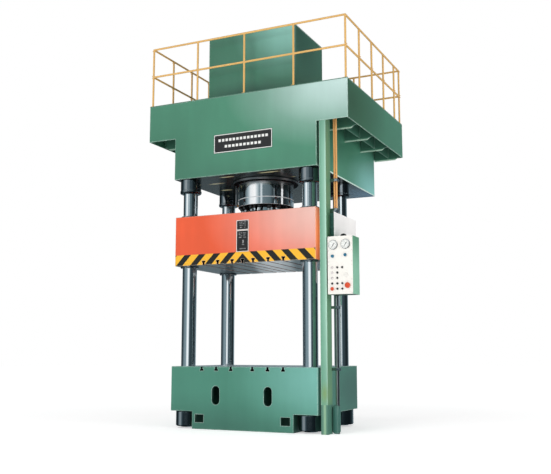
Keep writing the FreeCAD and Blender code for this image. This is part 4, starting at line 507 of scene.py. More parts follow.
def add_turned(shape, profile, centre, direction, steps=24, closed=False):
    """Adds a turned body: profile is radius and height along direction; a closed one is a ring's section."""
    turn = Vector(direction).to_track_quat("Z", "Y").to_matrix()
    rims = [add_rim(shape, centre, turn, radius, rise, steps) for radius, rise in profile]
    for below, above in zip(rims, rims[1:] + rims[:1] if closed else rims[1:]):
        for step in range(steps):
            corners = [below[step % len(below)], below[(step + 1) % len(below)],
                       above[(step + 1) % len(above)], above[step % len(above)]]
            corners = list(dict.fromkeys(corners))
            if len(corners) > 2:
                shape.faces.new(corners)
    for rim in (rims[0], rims[-1]):
        if len(rim) > 2 and not closed:
            shape.faces.new(rim)


def plate_marks(name, box, inset, width, bars, body, bar_finish):
    """The raised bright border and bars of a data plate, and the four screws that hold it."""
    low, high = box
    face = low.y
    raised = 0.0006
    inset_by = Vector((inset, 0, inset))
    border = bmesh.new()
    (west, foot), (east, head) = [(corner.x, corner.z) for corner in (low + inset_by, high - inset_by)]
    for left, right, bottom, top in (
        (west, east, head - width, head), (west, east, foot, foot + width),
        (west, west + width, foot + width, head - width), (east - width, east, foot + width, head - width),
    ):
        add_box(border, (left, face - raised, bottom), (right, face, top))
    piece(name + "_border", border, plate_white, body=body)
    span, rise = high.x - low.x, high.z - low.z
    marks = bmesh.new()
    for left, right, bottom, top in bars:
        add_box(marks, (low.x + left * span, face - raised, low.z + bottom * rise),
                (low.x + right * span, face, low.z + top * rise))
    piece(name + "_bars", marks, bar_finish, body=body)
    screws = bmesh.new()
    screw_inset = inset + width * 2
    for x in (low.x + screw_inset, high.x - screw_inset):
        for z in (low.z + screw_inset, high.z - screw_inset):
            add_turned(screws, screw_head, (x, face, z), -rearward, 16)
    piece(name + "_screws", screws, bright_screw, body=body)


def mottled(name, size, detail, dark, light, shine, spread=0.2, metallic=0.0, grain=None,
            stretch=(1, 1, 1), worn=None, pits=None, **constants):
    """A finish in patches of a size; its roughness goes from shine up by spread, in them or in a grain.

    worn gives the radius of its edges, how far they are rubbed and their shade; pits a casting's grain.
    """
    finish, place = new_finish(name)
    patches = clouds(place, size, detail, stretch)
    rough = clouds(place, grain) if grain else patches
    tint, normal = patches.blend(dark, light), None
    if worn:
        radius, rubbed, bare = worn
        normal, edge = edges(place, radius)
        tint = (edge * rubbed).blend(tint, bare)
    if pits:
        pit_size, pit_detail, depth = pits
        normal = relief(clouds(place, pit_size, pit_detail), depth, normal)
    close_finish(place, tint, shine + rough * spread, normal, metallic, **constants)
    return finish


screw_head = [(0.0045, 0), (0.0045, 0.001), (0.003, 0.0024), (0, 0.003)]
plate_white = mottled("plate_white", 0.03, 3, tone(214, 216, 212), tone(244, 245, 242), 0.42, 0.1,
                      grain=0.01)
bright_screw = mottled("bright_screw", 0.004, 2, (0.45, 0.46, 0.47, 1), (0.72, 0.73, 0.74, 1), 0.25, 0.15,
                       1.0, grain=0.003)
dress(mottled("plate_black", 0.05, 4, (0.006, 0.006, 0.007, 1), (0.018, 0.018, 0.019, 1), 0.3),
      "crown_nameplate", "slide_plates")

crown_bars = []
for count, left, pitch, bottom, top in ((14, 0.08, 0.062, 0.6, 0.74), (10, 0.19, 0.064, 0.26, 0.4)):
    crown_bars += [(left + pitch * step, left + pitch * (step + 0.68), bottom, top) for step in range(count)]
plate_marks("crown_nameplate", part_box("crown_nameplate"), 0.004, 0.012, crown_bars, "frame", plate_white)


# ---- Platform, deck and handrails
# Sheet-steel skirts on brackets carry a deck of chequer plate round the crown. The handrails are
# welded steel pipe, sprayed yellow.

skirt_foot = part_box("platform_sides")[0].z
# Painted shade on the right side and inside, and a painted highlight along the lower edge.
dress(sprayed(
    "platform_enamel", green, pale_green,
    shades=(((1.83, -0.7, 5.1), (0.05, 2.6, 1.6), tone(38, 78, 46), 0.95),),
    sheltered=((0, -1, 4.8), (1.818, 2.068, 5.445), tone(54, 88, 78)),
    over=lambda place: [(lit_lower_edge(place, skirt_foot + 0.022, 0.5, 0.85), tone(196, 226, 206))],
), "platform_sides", "platform_rear")

deck_finish, place = new_finish("chequer_plate")
lug_pitch = 0.036
tile_x, tile_y = [part / lug_pitch for part in place.parts()[:2]]
in_x = tile_x.maths("FRACT") - 0.5
in_y = tile_y.maths("FRACT") - 0.5
turned = 1 - (tile_x.maths("FLOOR") + tile_y.maths("FLOOR")).maths("PINGPONG", 1) * 2
diagonal = math.sqrt(0.5)
lug_long = (in_x + in_y * turned) * diagonal / 0.46
lug_wide = (in_x - in_y * turned) * diagonal / 0.14
lug = (lug_long * lug_long + lug_wide * lug_wide).ramp((0.5, 1), (1.0, 0), ease="EASE")
trodden = clouds(place, 0.5, 4)
deck_tint = trodden.blend(tone(58, 110, 90), tone(84, 140, 116))
deck_tint = (lug * trodden * 0.9).blend(deck_tint, (0.42, 0.45, 0.45, 1))
close_finish(place, deck_tint, 0.5 - lug * 0.12, relief(lug, 0.0015))
dress(deck_finish, "deck_plate")

rail_finish = sprayed(
    "rail_yellow", tone(226, 180, 108), tone(246, 224, 170), 0.002,
    over=lambda place: [(clouds(place, 0.03, 5).ramp((0.7, 0), (0.74, 0.8)), tone(130, 96, 58))])
dress(rail_finish, "railing_front", "railing_right", "railing_rear", "railing_left")

deck_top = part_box("deck_plate")[1].z
rail_box_low, rail_box_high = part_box("railing_front")
rail_radius = 0.01685
rail_reach = rail_box_high.x - rail_radius
rail_front = (rail_box_low.y + rail_box_high.y) / 2
rail_rear = rail_front + 2.88
rail_posts = [(rail_reach * step / 2, along) for step in range(-2, 3) for along in (rail_front, rail_rear)]
rail_bay = 0.64
rail_posts += [(side * rail_reach, rail_front + rail_bay * step) for side in (-1, 1) for step in range(1, 5)]
upward = Vector((0, 0, 1))
weld_beads = bmesh.new()
for post_x, post_y in rail_posts:
    for rise in (0.01, 0.522, 0.558, 1.022):
        bead = [(0.0166, -0.004), (0.0195, -0.002), (0.02, 0.001), (0.0166, 0.004)]
        add_turned(weld_beads, bead, (post_x, post_y, deck_top + rise), upward, 14)
piece("rail_weld_beads", weld_beads, rail_finish, angle=60)


# ---- Oil tank
# The reservoir on the crown is welded of thin plate and sprayed like the rest. A thicker lid with
# the filler and its breather cap is bolted on, and at the rear a hatch and an oil level gauge.

def add_bolt(shape, place, direction, size):
    """Adds a hexagon head, size across its corners, on its washer."""
    add_turned(shape, [(size * 0.62, 0), (size * 0.62, size * 0.08)], place, direction, 16)
    head = [(0.5, 0.08), (0.5, 0.38), (0.44, 0.45), (0, 0.45)]
    add_turned(shape, [(size * radius, size * rise) for radius, rise in head], place, direction, 6)


def add_bolt_circle(shape, centre, direction, radius, count, size):
    """Adds bolts in a circle round an axis."""
    turn = Vector(direction).to_track_quat("Z", "Y").to_matrix()
    for step in range(count):
        angle = math.tau * (step + 0.5) / count
        arm = Vector((radius * math.cos(angle), radius * math.sin(angle), 0))
        add_bolt(shape, Vector(centre) + turn @ arm, direction, size)


# Painted light: a painted highlight at the upper right of the front, painted shade low on the front and on
# the right side.
tank_finish = sprayed("tank_enamel", tone(64, 117, 95), pale_green, shades=(
    ((0.75, -0.6, 6.62), (1.1, 0.1, 0.95), tone(150, 208, 196), 0.9),
    ((0.0, -0.6, 5.42), (1.3, 0.1, 0.36), tone(34, 70, 60), 0.95),
    ((0.81, -0.3, 6.6), (0.03, 0.9, 1.0), tone(30, 78, 62), 0.8),
))
dress(tank_finish, "oil_tank", "tank_lid")
dress(mottled("filler_steel", 0.04, 4, (0.3, 0.32, 0.33, 1), (0.58, 0.6, 0.61, 1), 0.25, metallic=1.0),
      "filler_breather")

lid_low, lid_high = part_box("tank_lid")
lid_inset = Vector((0.03, 0.03, 0))
bolts_low, bolts_high = lid_low + lid_inset, lid_high - lid_inset
tank_bolt = 0.02
tank_bolts = bmesh.new()
for step in range(9):
    across = bolts_low.x + step / 8 * (bolts_high.x - bolts_low.x)
    for along in (bolts_low.y, bolts_high.y):
        add_bolt(tank_bolts, (across, along, lid_high.z), upward, tank_bolt)
for step in range(1, 6):
    along = bolts_low.y + step / 6 * (bolts_high.y - bolts_low.y)
    for across in (bolts_low.x, bolts_high.x):
        add_bolt(tank_bolts, (across, along, lid_high.z), upward, tank_bolt)

tank_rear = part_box("oil_tank")[1].y
hatch_spot = Vector((0.4, tank_rear, 6.33))
hatch = bmesh.new()
add_turned(hatch, [(0.19, 0), (0.19, 0.01), (0.186, 0.012), (0, 0.012)], hatch_spot, rearward, 64)
add_turned(hatch, [(0.075, 0.012), (0.075, 0.02), (0.071, 0.022), (0, 0.022)], hatch_spot, rearward, 40)
piece("tank_hatch", hatch, tank_finish)
add_bolt_circle(tank_bolts, hatch_spot + rearward * 0.012, rearward, 0.168, 12, tank_bolt)
piece("tank_bolts", tank_bolts, bright_screw, angle=40)


def block(name, low, high, radius, finish):
    """A folded sheet cover or a machined block with rounded edges, fixed to the frame."""
    shape = bmesh.new()
    add_box(shape, low, high, radius)
    piece(name, shape, finish, angle=50)


gauge_body = bmesh.new()
add_box(gauge_body, (-0.65, tank_rear + 0.012, 6.0), (-0.61, tank_rear + 0.026, 6.34), 0.003)
for level in (6.02, 6.32):
    add_turned(gauge_body, [(0.016, 0), (0.016, 0.014)], (-0.63, tank_rear, level), rearward, 20)
    add_bolt(gauge_body, (-0.63, tank_rear + 0.026, level), rearward, 0.024)
piece("oil_level_gauge", gauge_body, bright_screw)
oil_finish, place = new_finish("gauge_oil")
above_oil = place.parts()[2] > 6.2
oil_tint = above_oil.blend(tone(196, 128, 34), tone(226, 224, 210))
close_finish(place, (clouds(place, 0.02) * 0.2).blend(oil_tint, tone(150, 96, 30)), 0.08)
block("oil_level_window", (-0.638, tank_rear + 0.0255, 6.05), (-0.622, tank_rear + 0.029, 6.29), 0.0012,
      oil_finish)


# ---- Main cylinder
# A forged barrel, turned and polished, goes up through the crown. Its shoulder bears on the crown's
# underside and a ring nut on top holds it. A gland with hexagon screws closes its foot round the
# chromed ram, and a thin pipe drains it.

barrel_finish, place = new_finish("barrel_steel")
barrel_z = place.parts()[2]
barrel_rings = clouds(place, 0.004, 2, turning)
barrel_cloud = clouds(place, 0.3, 3)
gland_joint, gland_rim, seam_half = 3.775, 3.65, 0.007
seams = abs(barrel_z - gland_joint) < seam_half
seams = seams.maths("MAXIMUM", abs(barrel_z - gland_rim) < seam_half) * 0.85
barrel_tint = barrel_cloud.blend((0.82, 0.84, 0.86, 1), (0.9, 0.91, 0.92, 1))
# Painted shade: faces that look down are near black.
downward_shade = facing(place)[2] < -0.5
barrel_tint = overlay(barrel_tint, (barrel_z > 4.09, (0.05, 0.055, 0.06, 1)), (seams, (0.75, 0.8, 0.82, 1)),
                      (downward_shade, (0.03, 0.04, 0.045, 1)))
satin = barrel_z.fade((3.96, 0), (4.06, 0.36))
close_finish(place, barrel_tint, 0.06 + barrel_cloud * 0.04 + (seams + downward_shade) * 0.4 + satin,
             relief(barrel_rings, 0.00001, edges(place, 0.004)[0]), 1 - seams)
dress(barrel_finish, "cylinder_barrel", "cylinder_gland")
dress(chrome, "ram")
dress(nut_finish, "cylinder_lock_nut", "ram_flange_bolts")

dress(mottled("oiled_black", 0.04, 4, (0.012, 0.015, 0.017, 1), (0.035, 0.042, 0.046, 1), 0.22, metallic=0.5,
              worn=(0.002, 0.4, (0.2, 0.23, 0.24, 1))), "gland_bolts", "ram_flange")


def bent_pipe(name, points, radius, finish):
    """A round pipe of the frame whose run is pulled smooth between points."""
    path = bpy.data.curves.new(name, "CURVE")
    path.dimensions = "3D"
    path.bevel_depth = radius
    path.bevel_resolution = 4
    path.resolution_u = 6
    path.use_fill_caps = True
    run = path.splines.new("NURBS")
    run.points.add(len(points) - 1)
    for point, place in zip(run.points, points):
        point.co = (*place, 1)
    run.order_u = 3
    run.use_endpoint_u = True
    path.materials.append(finish)
    made = add_object(name, path)
    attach(made, "frame")


brass_finish = mottled("brass_fitting", 0.01, 3, (0.62, 0.36, 0.1, 1), (0.88, 0.58, 0.22, 1), 0.22,
                       metallic=0.6)


def add_union(shape, inner, outer, height, foot, direction):
    """Adds a pipe union: a hexagon nut with chamfered ends."""
    chamfer = 0.003
    profile = [(inner, 0), (outer, chamfer), (outer, height - chamfer), (inner, height)]
    add_turned(shape, profile, foot, direction, 6)


inward = Vector((0.899, 0.438, 0))
drain_foot = upward * 3.695 - inward * 0.475
drain_top = upward * 4.098 - inward * 0.515
drain_corner = drain_foot - inward * 0.04
bent_pipe("gland_drain_pipe", [
    drain_foot, drain_foot - inward * 0.014, drain_corner, drain_corner + upward * 0.026, drain_top,
], 0.008, bright_screw)
drain_unions = bmesh.new()
add_union(drain_unions, 0.014, 0.018, 0.018, drain_foot, -inward)
add_union(drain_unions, 0.014, 0.018, 0.02, drain_top - upward * 0.021, upward)
piece("gland_drain_unions", drain_unions, brass_finish)

dress(mottled("seal_bronze", 0.05, 4, (0.42, 0.25, 0.1, 1), (0.66, 0.44, 0.2, 1), 0.25, metallic=1.0),
      "piston_rings")

dress(mottled("cast_grey", 0.06, 4, (0.13, 0.14, 0.145, 1), (0.26, 0.27, 0.28, 1), 0.45, metallic=0.3,
              worn=(0.002, 0.6, (0.55, 0.56, 0.57, 1)), pits=(0.004, 3, 0.0004)),
      "prefill_valve", "hydraulic_pump", "valve_block", "control_valves")

pipe_finish = mottled("pipe_steel", 0.08, 4, (0.4, 0.42, 0.43, 1), (0.64, 0.66, 0.67, 1), 0.22,
                      metallic=1.0)
dress(pipe_finish, "cylinder_pipe", "pump_pipes", "cable_conduit")


# ---- Pump motor and valves
# A foot-mounted motor with a ribbed cast frame, sprayed blue-grey over the casting, drives the pump.
# Plugs close the valve block's bores, the wires of the motor and of the pilot valves' coils run in
# rigid steel conduit, and a bolted flange joins the suction tube to the tank.

motor_low, motor_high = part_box("pump_motor")
axis_y, axis_z = 1.05, deck_top + 0.3


def motor_vents(place):
    """The dark slots of the fan's guard, in rings cut by eight spokes."""
    x, y, z = place.parts()
    off_y, off_z = y - axis_y, z - axis_z
    from_axis = (off_y * off_y + off_z * off_z).maths("SQRT")
    around = off_y.maths("ARCTAN2", off_z) / math.tau
    vents = ((from_axis / 0.022).maths("FRACT") > 0.45) * (from_axis > 0.05) * (from_axis < 0.2)
    spokes = abs((around * 8).maths("FRACT") - 0.5) < 0.44
    return [(vents * spokes * (x < motor_low.x + 0.001), (0.006, 0.007, 0.008, 1))]


motor_finish = sprayed("motor_paint", tone(92, 116, 128), tone(176, 190, 196), 0.004, over=motor_vents,
                       duller=0.1, pits=(0.005, 3, 0.0003))
dress(motor_finish, "pump_motor")

block("terminal_lid", (-0.124, axis_y - 0.124, motor_high.z), (0.124, axis_y + 0.124, motor_high.z + 0.014),
      0.004, motor_finish)
motor_bolts = bmesh.new()
for across in (-0.108, 0.108):
    for along in (axis_y - 0.108, axis_y + 0.108):
        add_bolt(motor_bolts, (across, along, motor_high.z + 0.014), upward, 0.014)
for across in (-0.34, 0.08):
    for side in (-1, 1):
        add_bolt(motor_bolts, (across, axis_y + side * 0.1925, deck_top + 0.038), upward, 0.026)
add_bolt_circle(motor_bolts, (0.22, axis_y, axis_z), (1, 0, 0), 0.176, 8, 0.024)
eye_round = [(0.028 + 0.007 * math.cos(math.tau * step / 8), 0.007 * math.sin(math.tau * step / 8))
             for step in range(8)]
add_turned(motor_bolts, eye_round, (-0.3, axis_y, axis_z + 0.276), rearward, 28, closed=True)
add_turned(motor_bolts, [(0.02, -0.016), (0.02, 0.012), (0.01, 0.018)],
           (-0.3, axis_y, axis_z + 0.232), upward, 20)
piece("motor_bolts", motor_bolts, bright_screw, angle=40)

motor_plate = bmesh.new()
for left, right, foot, top, back, front in (
    (-0.05, 0.06, 0.23, 0.3, 0.12, 0.1212), (-0.042, 0.052, 0.266, 0.268, 0.1212, 0.1216),
    (-0.042, 0.052, 0.25, 0.252, 0.1212, 0.1216),
):
    add_box(motor_plate, (left, axis_y + back, axis_z + foot), (right, axis_y + front, axis_z + top))
piece("motor_rating_plate", motor_plate, bright_screw)

socket_finish = mottled("socket_rubber", 0.03, 3, (0.01, 0.01, 0.011, 1), (0.024, 0.024, 0.026, 1), 0.45)
gland_spot = Vector((-0.085, axis_y + 0.12, axis_z + 0.262))
glands = bmesh.new()
add_turned(glands, [(0.026, 0), (0.026, 0.012), (0.022, 0.014), (0.022, 0.03), (0.015, 0.034)],
           gland_spot, rearward, 6)
deck_entry = Vector((-0.085, axis_y + 0.29, deck_top))
add_turned(glands, [(0.03, 0), (0.03, 0.006), (0.024, 0.01)], deck_entry, upward)
bent_pipe("motor_conduit", [
    gland_spot, gland_spot + rearward * 0.06, gland_spot + Vector((0, 0.16, 0.01)),
    gland_spot + Vector((0, 0.175, -0.12)), deck_entry + upward * 0.12,
    deck_entry + upward * 0.002,
], 0.013, pipe_finish)
coil_low, coil_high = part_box("control_valves")
for step in range(3):
    coil_y = coil_low.y + 0.035 + 0.1 * step
    for side, coil_x in ((-1, coil_low.x + 0.03), (1, coil_high.x - 0.03)):
        add_box(glands, (coil_x - 0.015, coil_y - 0.016, coil_high.z - 0.025),
                (coil_x + 0.015, coil_y + 0.016, coil_high.z + 0.024), 0.002)
        out = Vector((side, 0, 0))
        plug = Vector((coil_x, coil_y, coil_high.z + 0.008))
        drop = Vector((coil_x + side * 0.12, coil_y, deck_top + 0.012))
        bent_pipe("coil_conduit_%d_%d" % (step + 1, side + 2), [
            plug, plug + out * 0.05, plug + out * 0.118 + upward * 0.004,
            plug + out * 0.122 - upward * 0.1, drop + upward * 0.04, drop,
            (drop.x, tank_rear + 0.004, drop.z)], 0.005, pipe_finish)
piece("conduit_sockets", glands, socket_finish)

block_low, block_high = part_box("valve_block")
plug_head = [(0.021, 0), (0.021, 0.006), (0.018, 0.008), (0.009, 0.008), (0.008, 0.003), (0, 0.003)]
block_plugs = bmesh.new()
block_middle = (block_low + block_high) / 2
for across in (-0.12, 0.0, 0.12):
    for drop in (0.065, 0.185):
        spot = (block_middle.x + across, block_high.y, block_high.z - drop)
        add_turned(block_plugs, plug_head, spot, rearward)
for along in (-0.1, 0.0, 0.1):
    spot = (block_low.x, block_middle.y + along, block_high.z - 0.125)
    add_turned(block_plugs, plug_head, spot, (-1, 0, 0))
piece("block_plugs", block_plugs, bright_screw)

suction_spot = Vector((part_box("pump_pipes")[1].x - 0.044, tank_rear, axis_z))
suction_flange = bmesh.new()
add_turned(suction_flange, [(0.0445, 0), (0.088, 0), (0.088, 0.016), (0.085, 0.018), (0.0445, 0.018)],
           suction_spot, rearward, 40, closed=True)
add_bolt_circle(suction_flange, suction_spot + rearward * 0.018, rearward, 0.068, 6, 0.02)
piece("suction_flange", suction_flange, bright_screw, angle=40)


# ---- Control post, lines and guard
# A square hollow post carries two copper lines down from the valves and a steel conduit up from the
# floor, both led into enamelled covers. A bent sheet guard on two arms stands at the slide's side.

def post_light(place):
    """Painted sheen, painted shade on the side and top, a stain, a darker foot and a painted boot highlight.
    """
    boot_top = 0.432
    post_width = 0.11
    x, _, z = place.parts()
    across = (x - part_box("control_post")[0].x) / post_width
    to_right, to_rear, _ = facing(place)
    front = to_rear < -0.7
    sheen = across.ramp((0.1, 0.0), (0.75, 0.5), (0.88, 1.0)) * front
    boot_highlight = across.ramp((0.0, 0.0), (0.3, 0.15), (0.5, 1.0), (0.64, 0.9), (0.8, 0.0)) * front
    return [
        (sheen * z.fade((0.6, 0.3), (1.8, 1.0), (3.72, 1.0), (4.8, 0.5)), tone(178, 220, 200)),
        ((to_right > 0.7) * 0.8, tone(98, 142, 104)),
        (near(place, (1.4, -0.86, 0.6), (0.09, 0.3, 0.22), 0.8), tone(132, 160, 96)),
        ((z < boot_top) + z.fade((4.4, 0), (5.2, 0.7)), tone(84, 130, 114)),
        (boot_highlight * (z < boot_top) * 0.7, tone(166, 206, 166)),
    ]


dress(sprayed("post_enamel", tone(108, 164, 138), tone(214, 238, 222), 0.016, over=post_light),
      "control_post")

copper_finish = mottled("copper_line", 0.1, 4, (1.0, 0.55, 0.2, 1), (0.86, 0.4, 0.14, 1), 0.3,
                        metallic=0.2, stretch=(1, 1, 0.4), pits=(0.02, 2, 0.0002))
dress(copper_finish, "copper_pipes")
dress(nut_finish, "pipe_clamps")

cover_green = tone(60, 108, 98)
cover_finish = sprayed("cover_enamel", cover_green, pale_green, 0.004)
block("line_cover", (1.4487, -0.705, 2.961), (1.561, -0.6, 3.348), 0.006, cover_finish)
block("conduit_cover", (1.4487, -0.715, 0.0), (1.562, -0.59, 0.425), 0.045, cover_finish)
block("line_block", (1.4487, -0.7, 3.349), (1.561, -0.6, 3.402), 0.008, nut_finish)
line_unions = bmesh.new()
for line_x in (1.5045, 1.5395):
    add_union(line_unions, 0.015, 0.0168, 0.022, (line_x, -0.64, 3.4025), upward)
piece("line_unions", line_unions, brass_finish)

sheet_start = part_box("side_guard")[1].x - 0.004
dress(sprayed(
    "guard_enamel", tone(252, 249, 247), tone(254, 254, 252), 0.003, duller=0.1,
    over=lambda place: [(place.parts()[0] < sheet_start, cover_green)],
), "side_guard")


# ---- Control box and panel
# A folded sheet box on the post, its front a cream panel with two gauges, two valve knobs, pilot
# lamps, push-buttons and a red emergency stop.

# Painted shade high on the right side and on the underside.
box_finish = sprayed(
    "box_enamel", tone(138, 194, 166), pale_green, 0.004,
    (((1.875, -0.72, 3.0), (0.05, 0.5, 0.55), tone(70, 138, 100), 0.9),),
    over=lambda place: [((facing(place)[2] < -0.9) * 0.85, tone(40, 56, 50))])
dress(box_finish, "control_box")

dress(sprayed("panel_cream", tone(246, 243, 236), tone(252, 252, 250), 0.002, duller=0.08), "control_panel")

box_low, box_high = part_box("control_box")
door_face = box_high.y + 0.003
block("box_door", (1.494, box_high.y, 2.1), (1.853, door_face, 2.938), 0.001, box_finish)
door_fittings = bmesh.new()
for level in (2.24, 2.76):
    add_turned(door_fittings, [(0.007, 0), (0.007, 0.06), (0, 0.061)],
               (1.49, door_face + 0.001, level), upward, 16)
lock = [(0.014, 0), (0.014, 0.004), (0.011, 0.007), (0.004, 0.007), (0.004, 0.003), (0, 0.003)]
add_turned(door_fittings, lock, (1.83, door_face, 2.52), rearward, 28)
conduit_nut = [(0.044, 0), (0.044, 0.008), (0.04, 0.01), (0.0305, 0.01)]
add_turned(door_fittings, conduit_nut, (1.522, -0.64, box_low.z), -upward, 6)
piece("box_fittings", door_fittings, bright_screw, angle=40)


def plastic(name, dark, light, shine, depth=0.00005, **constants):
    """Moulded plastic: a faint mottle and a fine spark-eroded grain."""
    return mottled(name, 0.02, 3, dark, light, shine, 0.12, pits=(0.0012, 2, depth), **constants)


dress(plastic("knob_blue", tone(22, 84, 116), tone(50, 128, 156), 0.22), "knob_left", "knob_right")
dress(plastic("button_black", tone(24, 25, 27), tone(44, 46, 48), 0.25),
      *[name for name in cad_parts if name.startswith("button_") and name != "button_cycle_stop"])
dress(plastic("button_red", tone(200, 64, 34), tone(222, 88, 50), 0.26),
      "button_cycle_stop", "emergency_stop")
dress(plastic("lamp_pale", tone(214, 208, 206), tone(240, 236, 234), 0.12), "pilot_lamps")
dress(plastic("pointer_black", tone(20, 20, 22), tone(36, 36, 38), 0.3), "pointer_left", "pointer_right")
dress(plastic("gauge_glass", tone(236, 244, 244), tone(248, 252, 252), 0.02, 0.0, Alpha=0.1),
      "gauge_glasses")

box_top_cap = bmesh.new()
add_turned(box_top_cap, [(0.054, 0), (0.054, 0.012), (0.048, 0.014), (0.046, 0.026), (0.036, 0.042),
                         (0.02, 0.05), (0, 0.052)], (1.686, -0.75, 2.96), upward, 32)
piece("box_top_cap", box_top_cap, plastic("cap_black", tone(10, 13, 12), tone(24, 28, 26), 0.55))

panel_low, panel_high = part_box("control_panel")
panel_size = panel_high - panel_low


def on_panel(across, down):
    """A spot on the panel's face, given as shares of its width and height from the upper left."""
    return Vector((panel_low.x + across * panel_size.x, panel_low.y, panel_high.z - down * panel_size.z))


button_columns = (0.178, 0.386, 0.584)
button_rows = (0.541, 0.631, 0.723, 0.816, 0.908)
for ring_name, section, spots, ring_finish, ring_slot in (
    ("button_rings", [(0.0155, 0), (0.018, 0), (0.018, 0.002), (0.0165, 0.0035), (0.0155, 0.0025)],
     ((1, 0), (2, 0), (1, 1), (1, 2), (0, 3), (1, 3), (2, 3), (1, 4), (2, 4)), bright_screw, "bright_steel"),
    ("lamp_rings", [(0.0155, 0), (0.02, 0), (0.02, 0.003), (0.018, 0.005), (0.0155, 0.004)],
     ((0, 0), (0, 1), (0, 2)), plastic("lamp_ring_grey", tone(168, 160, 160), tone(206, 198, 196), 0.3),
     "gauge_case"),
):
    rings = bmesh.new()
    for column, row in spots:
        spot = on_panel(button_columns[column], button_rows[row])
        add_turned(rings, section, spot, -rearward, 32, closed=True)
    piece(ring_name, rings, ring_finish)

blank_cover = bmesh.new()
add_turned(blank_cover, [(0.0375, 0), (0.0375, 0.002), (0.035, 0.004), (0.03, 0.0045), (0.028, 0.003),
                         (0.01, 0.003), (0, 0.003)], on_panel(0.733, 0.676), -rearward, 40)
piece("blank_cover", blank_cover, plastic("blank_cover_pale", tone(226, 222, 216), tone(240, 238, 232), 0.3))

panel_screws = bmesh.new()
for across in (0.035, 0.965):
    for down in (0.02, 0.25, 0.44, 0.5, 0.75, 0.98):
        add_turned(panel_screws, screw_head, on_panel(across, down), -rearward, 16)
piece("panel_screws", panel_screws, bright_screw)

gauge_finish, place = new_finish("gauge_case")
gauge_x, gauge_y, gauge_z = place.parts()
left_dial, right_dial = on_panel(0.223, 0.147), on_panel(0.72, 0.142)
between = right_dial - left_dial
at_right = gauge_x > (left_dial.x + right_dial.x) / 2
off_x = gauge_x - left_dial.x - at_right * between.x
off_z = gauge_z - left_dial.z - at_right * between.z
reach = (off_x * off_x + off_z * off_z).maths("SQRT")
on_dial = (reach < 0.0662) * (gauge_y < panel_low.y + 0.002)
swing = off_x.maths("ARCTAN2", off_z) / math.tau
scale_turn = 290 / 360
reading = swing / scale_turn + 0.5
tick = abs((reading * 50 + 0.5).maths("FRACT") - 0.5) < 0.14
long_tick = abs((reading * 5 + 0.5).maths("FRACT") - 0.5) < 0.022
scale_arc = abs(swing) < scale_turn / 2 + 0.0034
ticks = tick * (reach > 0.056) * (reach < 0.062) + long_tick * (reach > 0.051) * (reach < 0.062)
gauge_cloud = clouds(place, 0.02, 3)
metal_tint = gauge_cloud.blend((0.5, 0.51, 0.52, 1), (0.74, 0.75, 0.76, 1))
dial_tint = (ticks * scale_arc).blend(tone(244, 244, 240), tone(30, 30, 32))
close_finish(place, on_dial.blend(metal_tint, dial_tint), 0.2 + on_dial * 0.3, None, 1 - on_dial)
dress(gauge_finish, "gauge_cases")


def add_number(shape, text, centre, size):
    """Adds a flat number that faces the front, centred on a spot."""
    letters = bpy.data.curves.new("number", "FONT")
    letters.body = text
    letters.size = size
    letters.align_x = "CENTER"
    letters.align_y = "CENTER"
    letters.extrude = 0.0001
    holder = add_object("number", letters)
    bpy.context.view_layer.update()
    made = bpy.data.meshes.new_from_object(holder.evaluated_get(bpy.context.evaluated_depsgraph_get()))
    made.transform(Matrix.Translation(centre) @ Matrix.Rotation(math.radians(90), 4, "X"))
    shape.from_mesh(made)
    bpy.data.objects.remove(holder)
    bpy.data.curves.remove(letters)
    bpy.data.meshes.remove(made)


dial_numbers = bmesh.new()
for spot in (left_dial, right_dial):
    for count in range(6):
        angle = math.radians(-145 + 58 * count)
        centre = spot + Vector((0.043 * math.sin(angle), -0.0007, 0.043 * math.cos(angle)))
        add_number(dial_numbers, str(count * 5), centre, 0.0125)
piece("dial_numbers", dial_numbers, plastic("dial_number_black", tone(18, 18, 20), tone(30, 30, 32), 0.4))


# ---- Slide
# A welded box guided on the columns by bolted bushes, sprayed orange, with a black and yellow band
# painted along its foot. Its planed underside has T-slots with painted shade and a painted highlight patch;
# painted light lies on its front and a painted glow on its right side. Two data plates are screwed to its
# front.

slide_finish, place = new_finish("slide_enamel")
# Painted light: a painted highlight at the upper right of the front and painted light on the right side.
slide_colour, slide_rough, slide_normal = enamel(
    place, tone(231, 92, 54), tone(250, 200, 172), shades=(
        ((1.55, -0.86, 3.46), (2.3, 0.25, 1.3), tone(233, 200, 190), 1.0),
        ((1.3, 0.3, 3.05), (0.04, 1.9, 1.4), tone(255, 150, 84), 1.0),
    ))
slide_low, slide_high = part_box("slide_block")
slide_x, slide_y, slide_z = place.parts()
normal_x, normal_y, normal_z = facing(place)
band_top = slide_low.z + 0.177
stripe_pitch = 0.277
stripe = ((abs(slide_x) + (slide_z - slide_low.z - 0.019) * 0.95) / stripe_pitch).maths("FRACT") < 0.465
scuffed = clouds(place, 0.06, 5)
band_colour = stripe.blend(scuffed.blend(tone(250, 190, 46), tone(240, 178, 52)),
                           scuffed.blend(tone(16, 18, 16), tone(32, 34, 31)))
# A painted highlight along the band's edges, in patches.
band_edge_highlight = edges(place, 0.014)[1] * scuffed.ramp((0.3, 0.55), (0.6, 0.95))
band_colour = band_edge_highlight.blend(band_colour, tone(240, 222, 200))
on_band = (slide_z < band_top) * (normal_y < -0.5)
slide_colour = on_band.blend(slide_colour, band_colour)
in_slots = (abs(slide_x) < slot_reach) * (abs(normal_y) < 0.5) * (slide_y > slide_low.y + 0.004)
in_slots = in_slots * (slide_z > slide_low.z + 0.002) * (slide_z < slide_low.z + slot_depth)
under = ((normal_z < -0.9) * (slide_z < slide_low.z + slot_depth)).maths("MAXIMUM", in_slots)
under_colour, under_rough, under_lines = planed(place, (1, 0.02, 1))
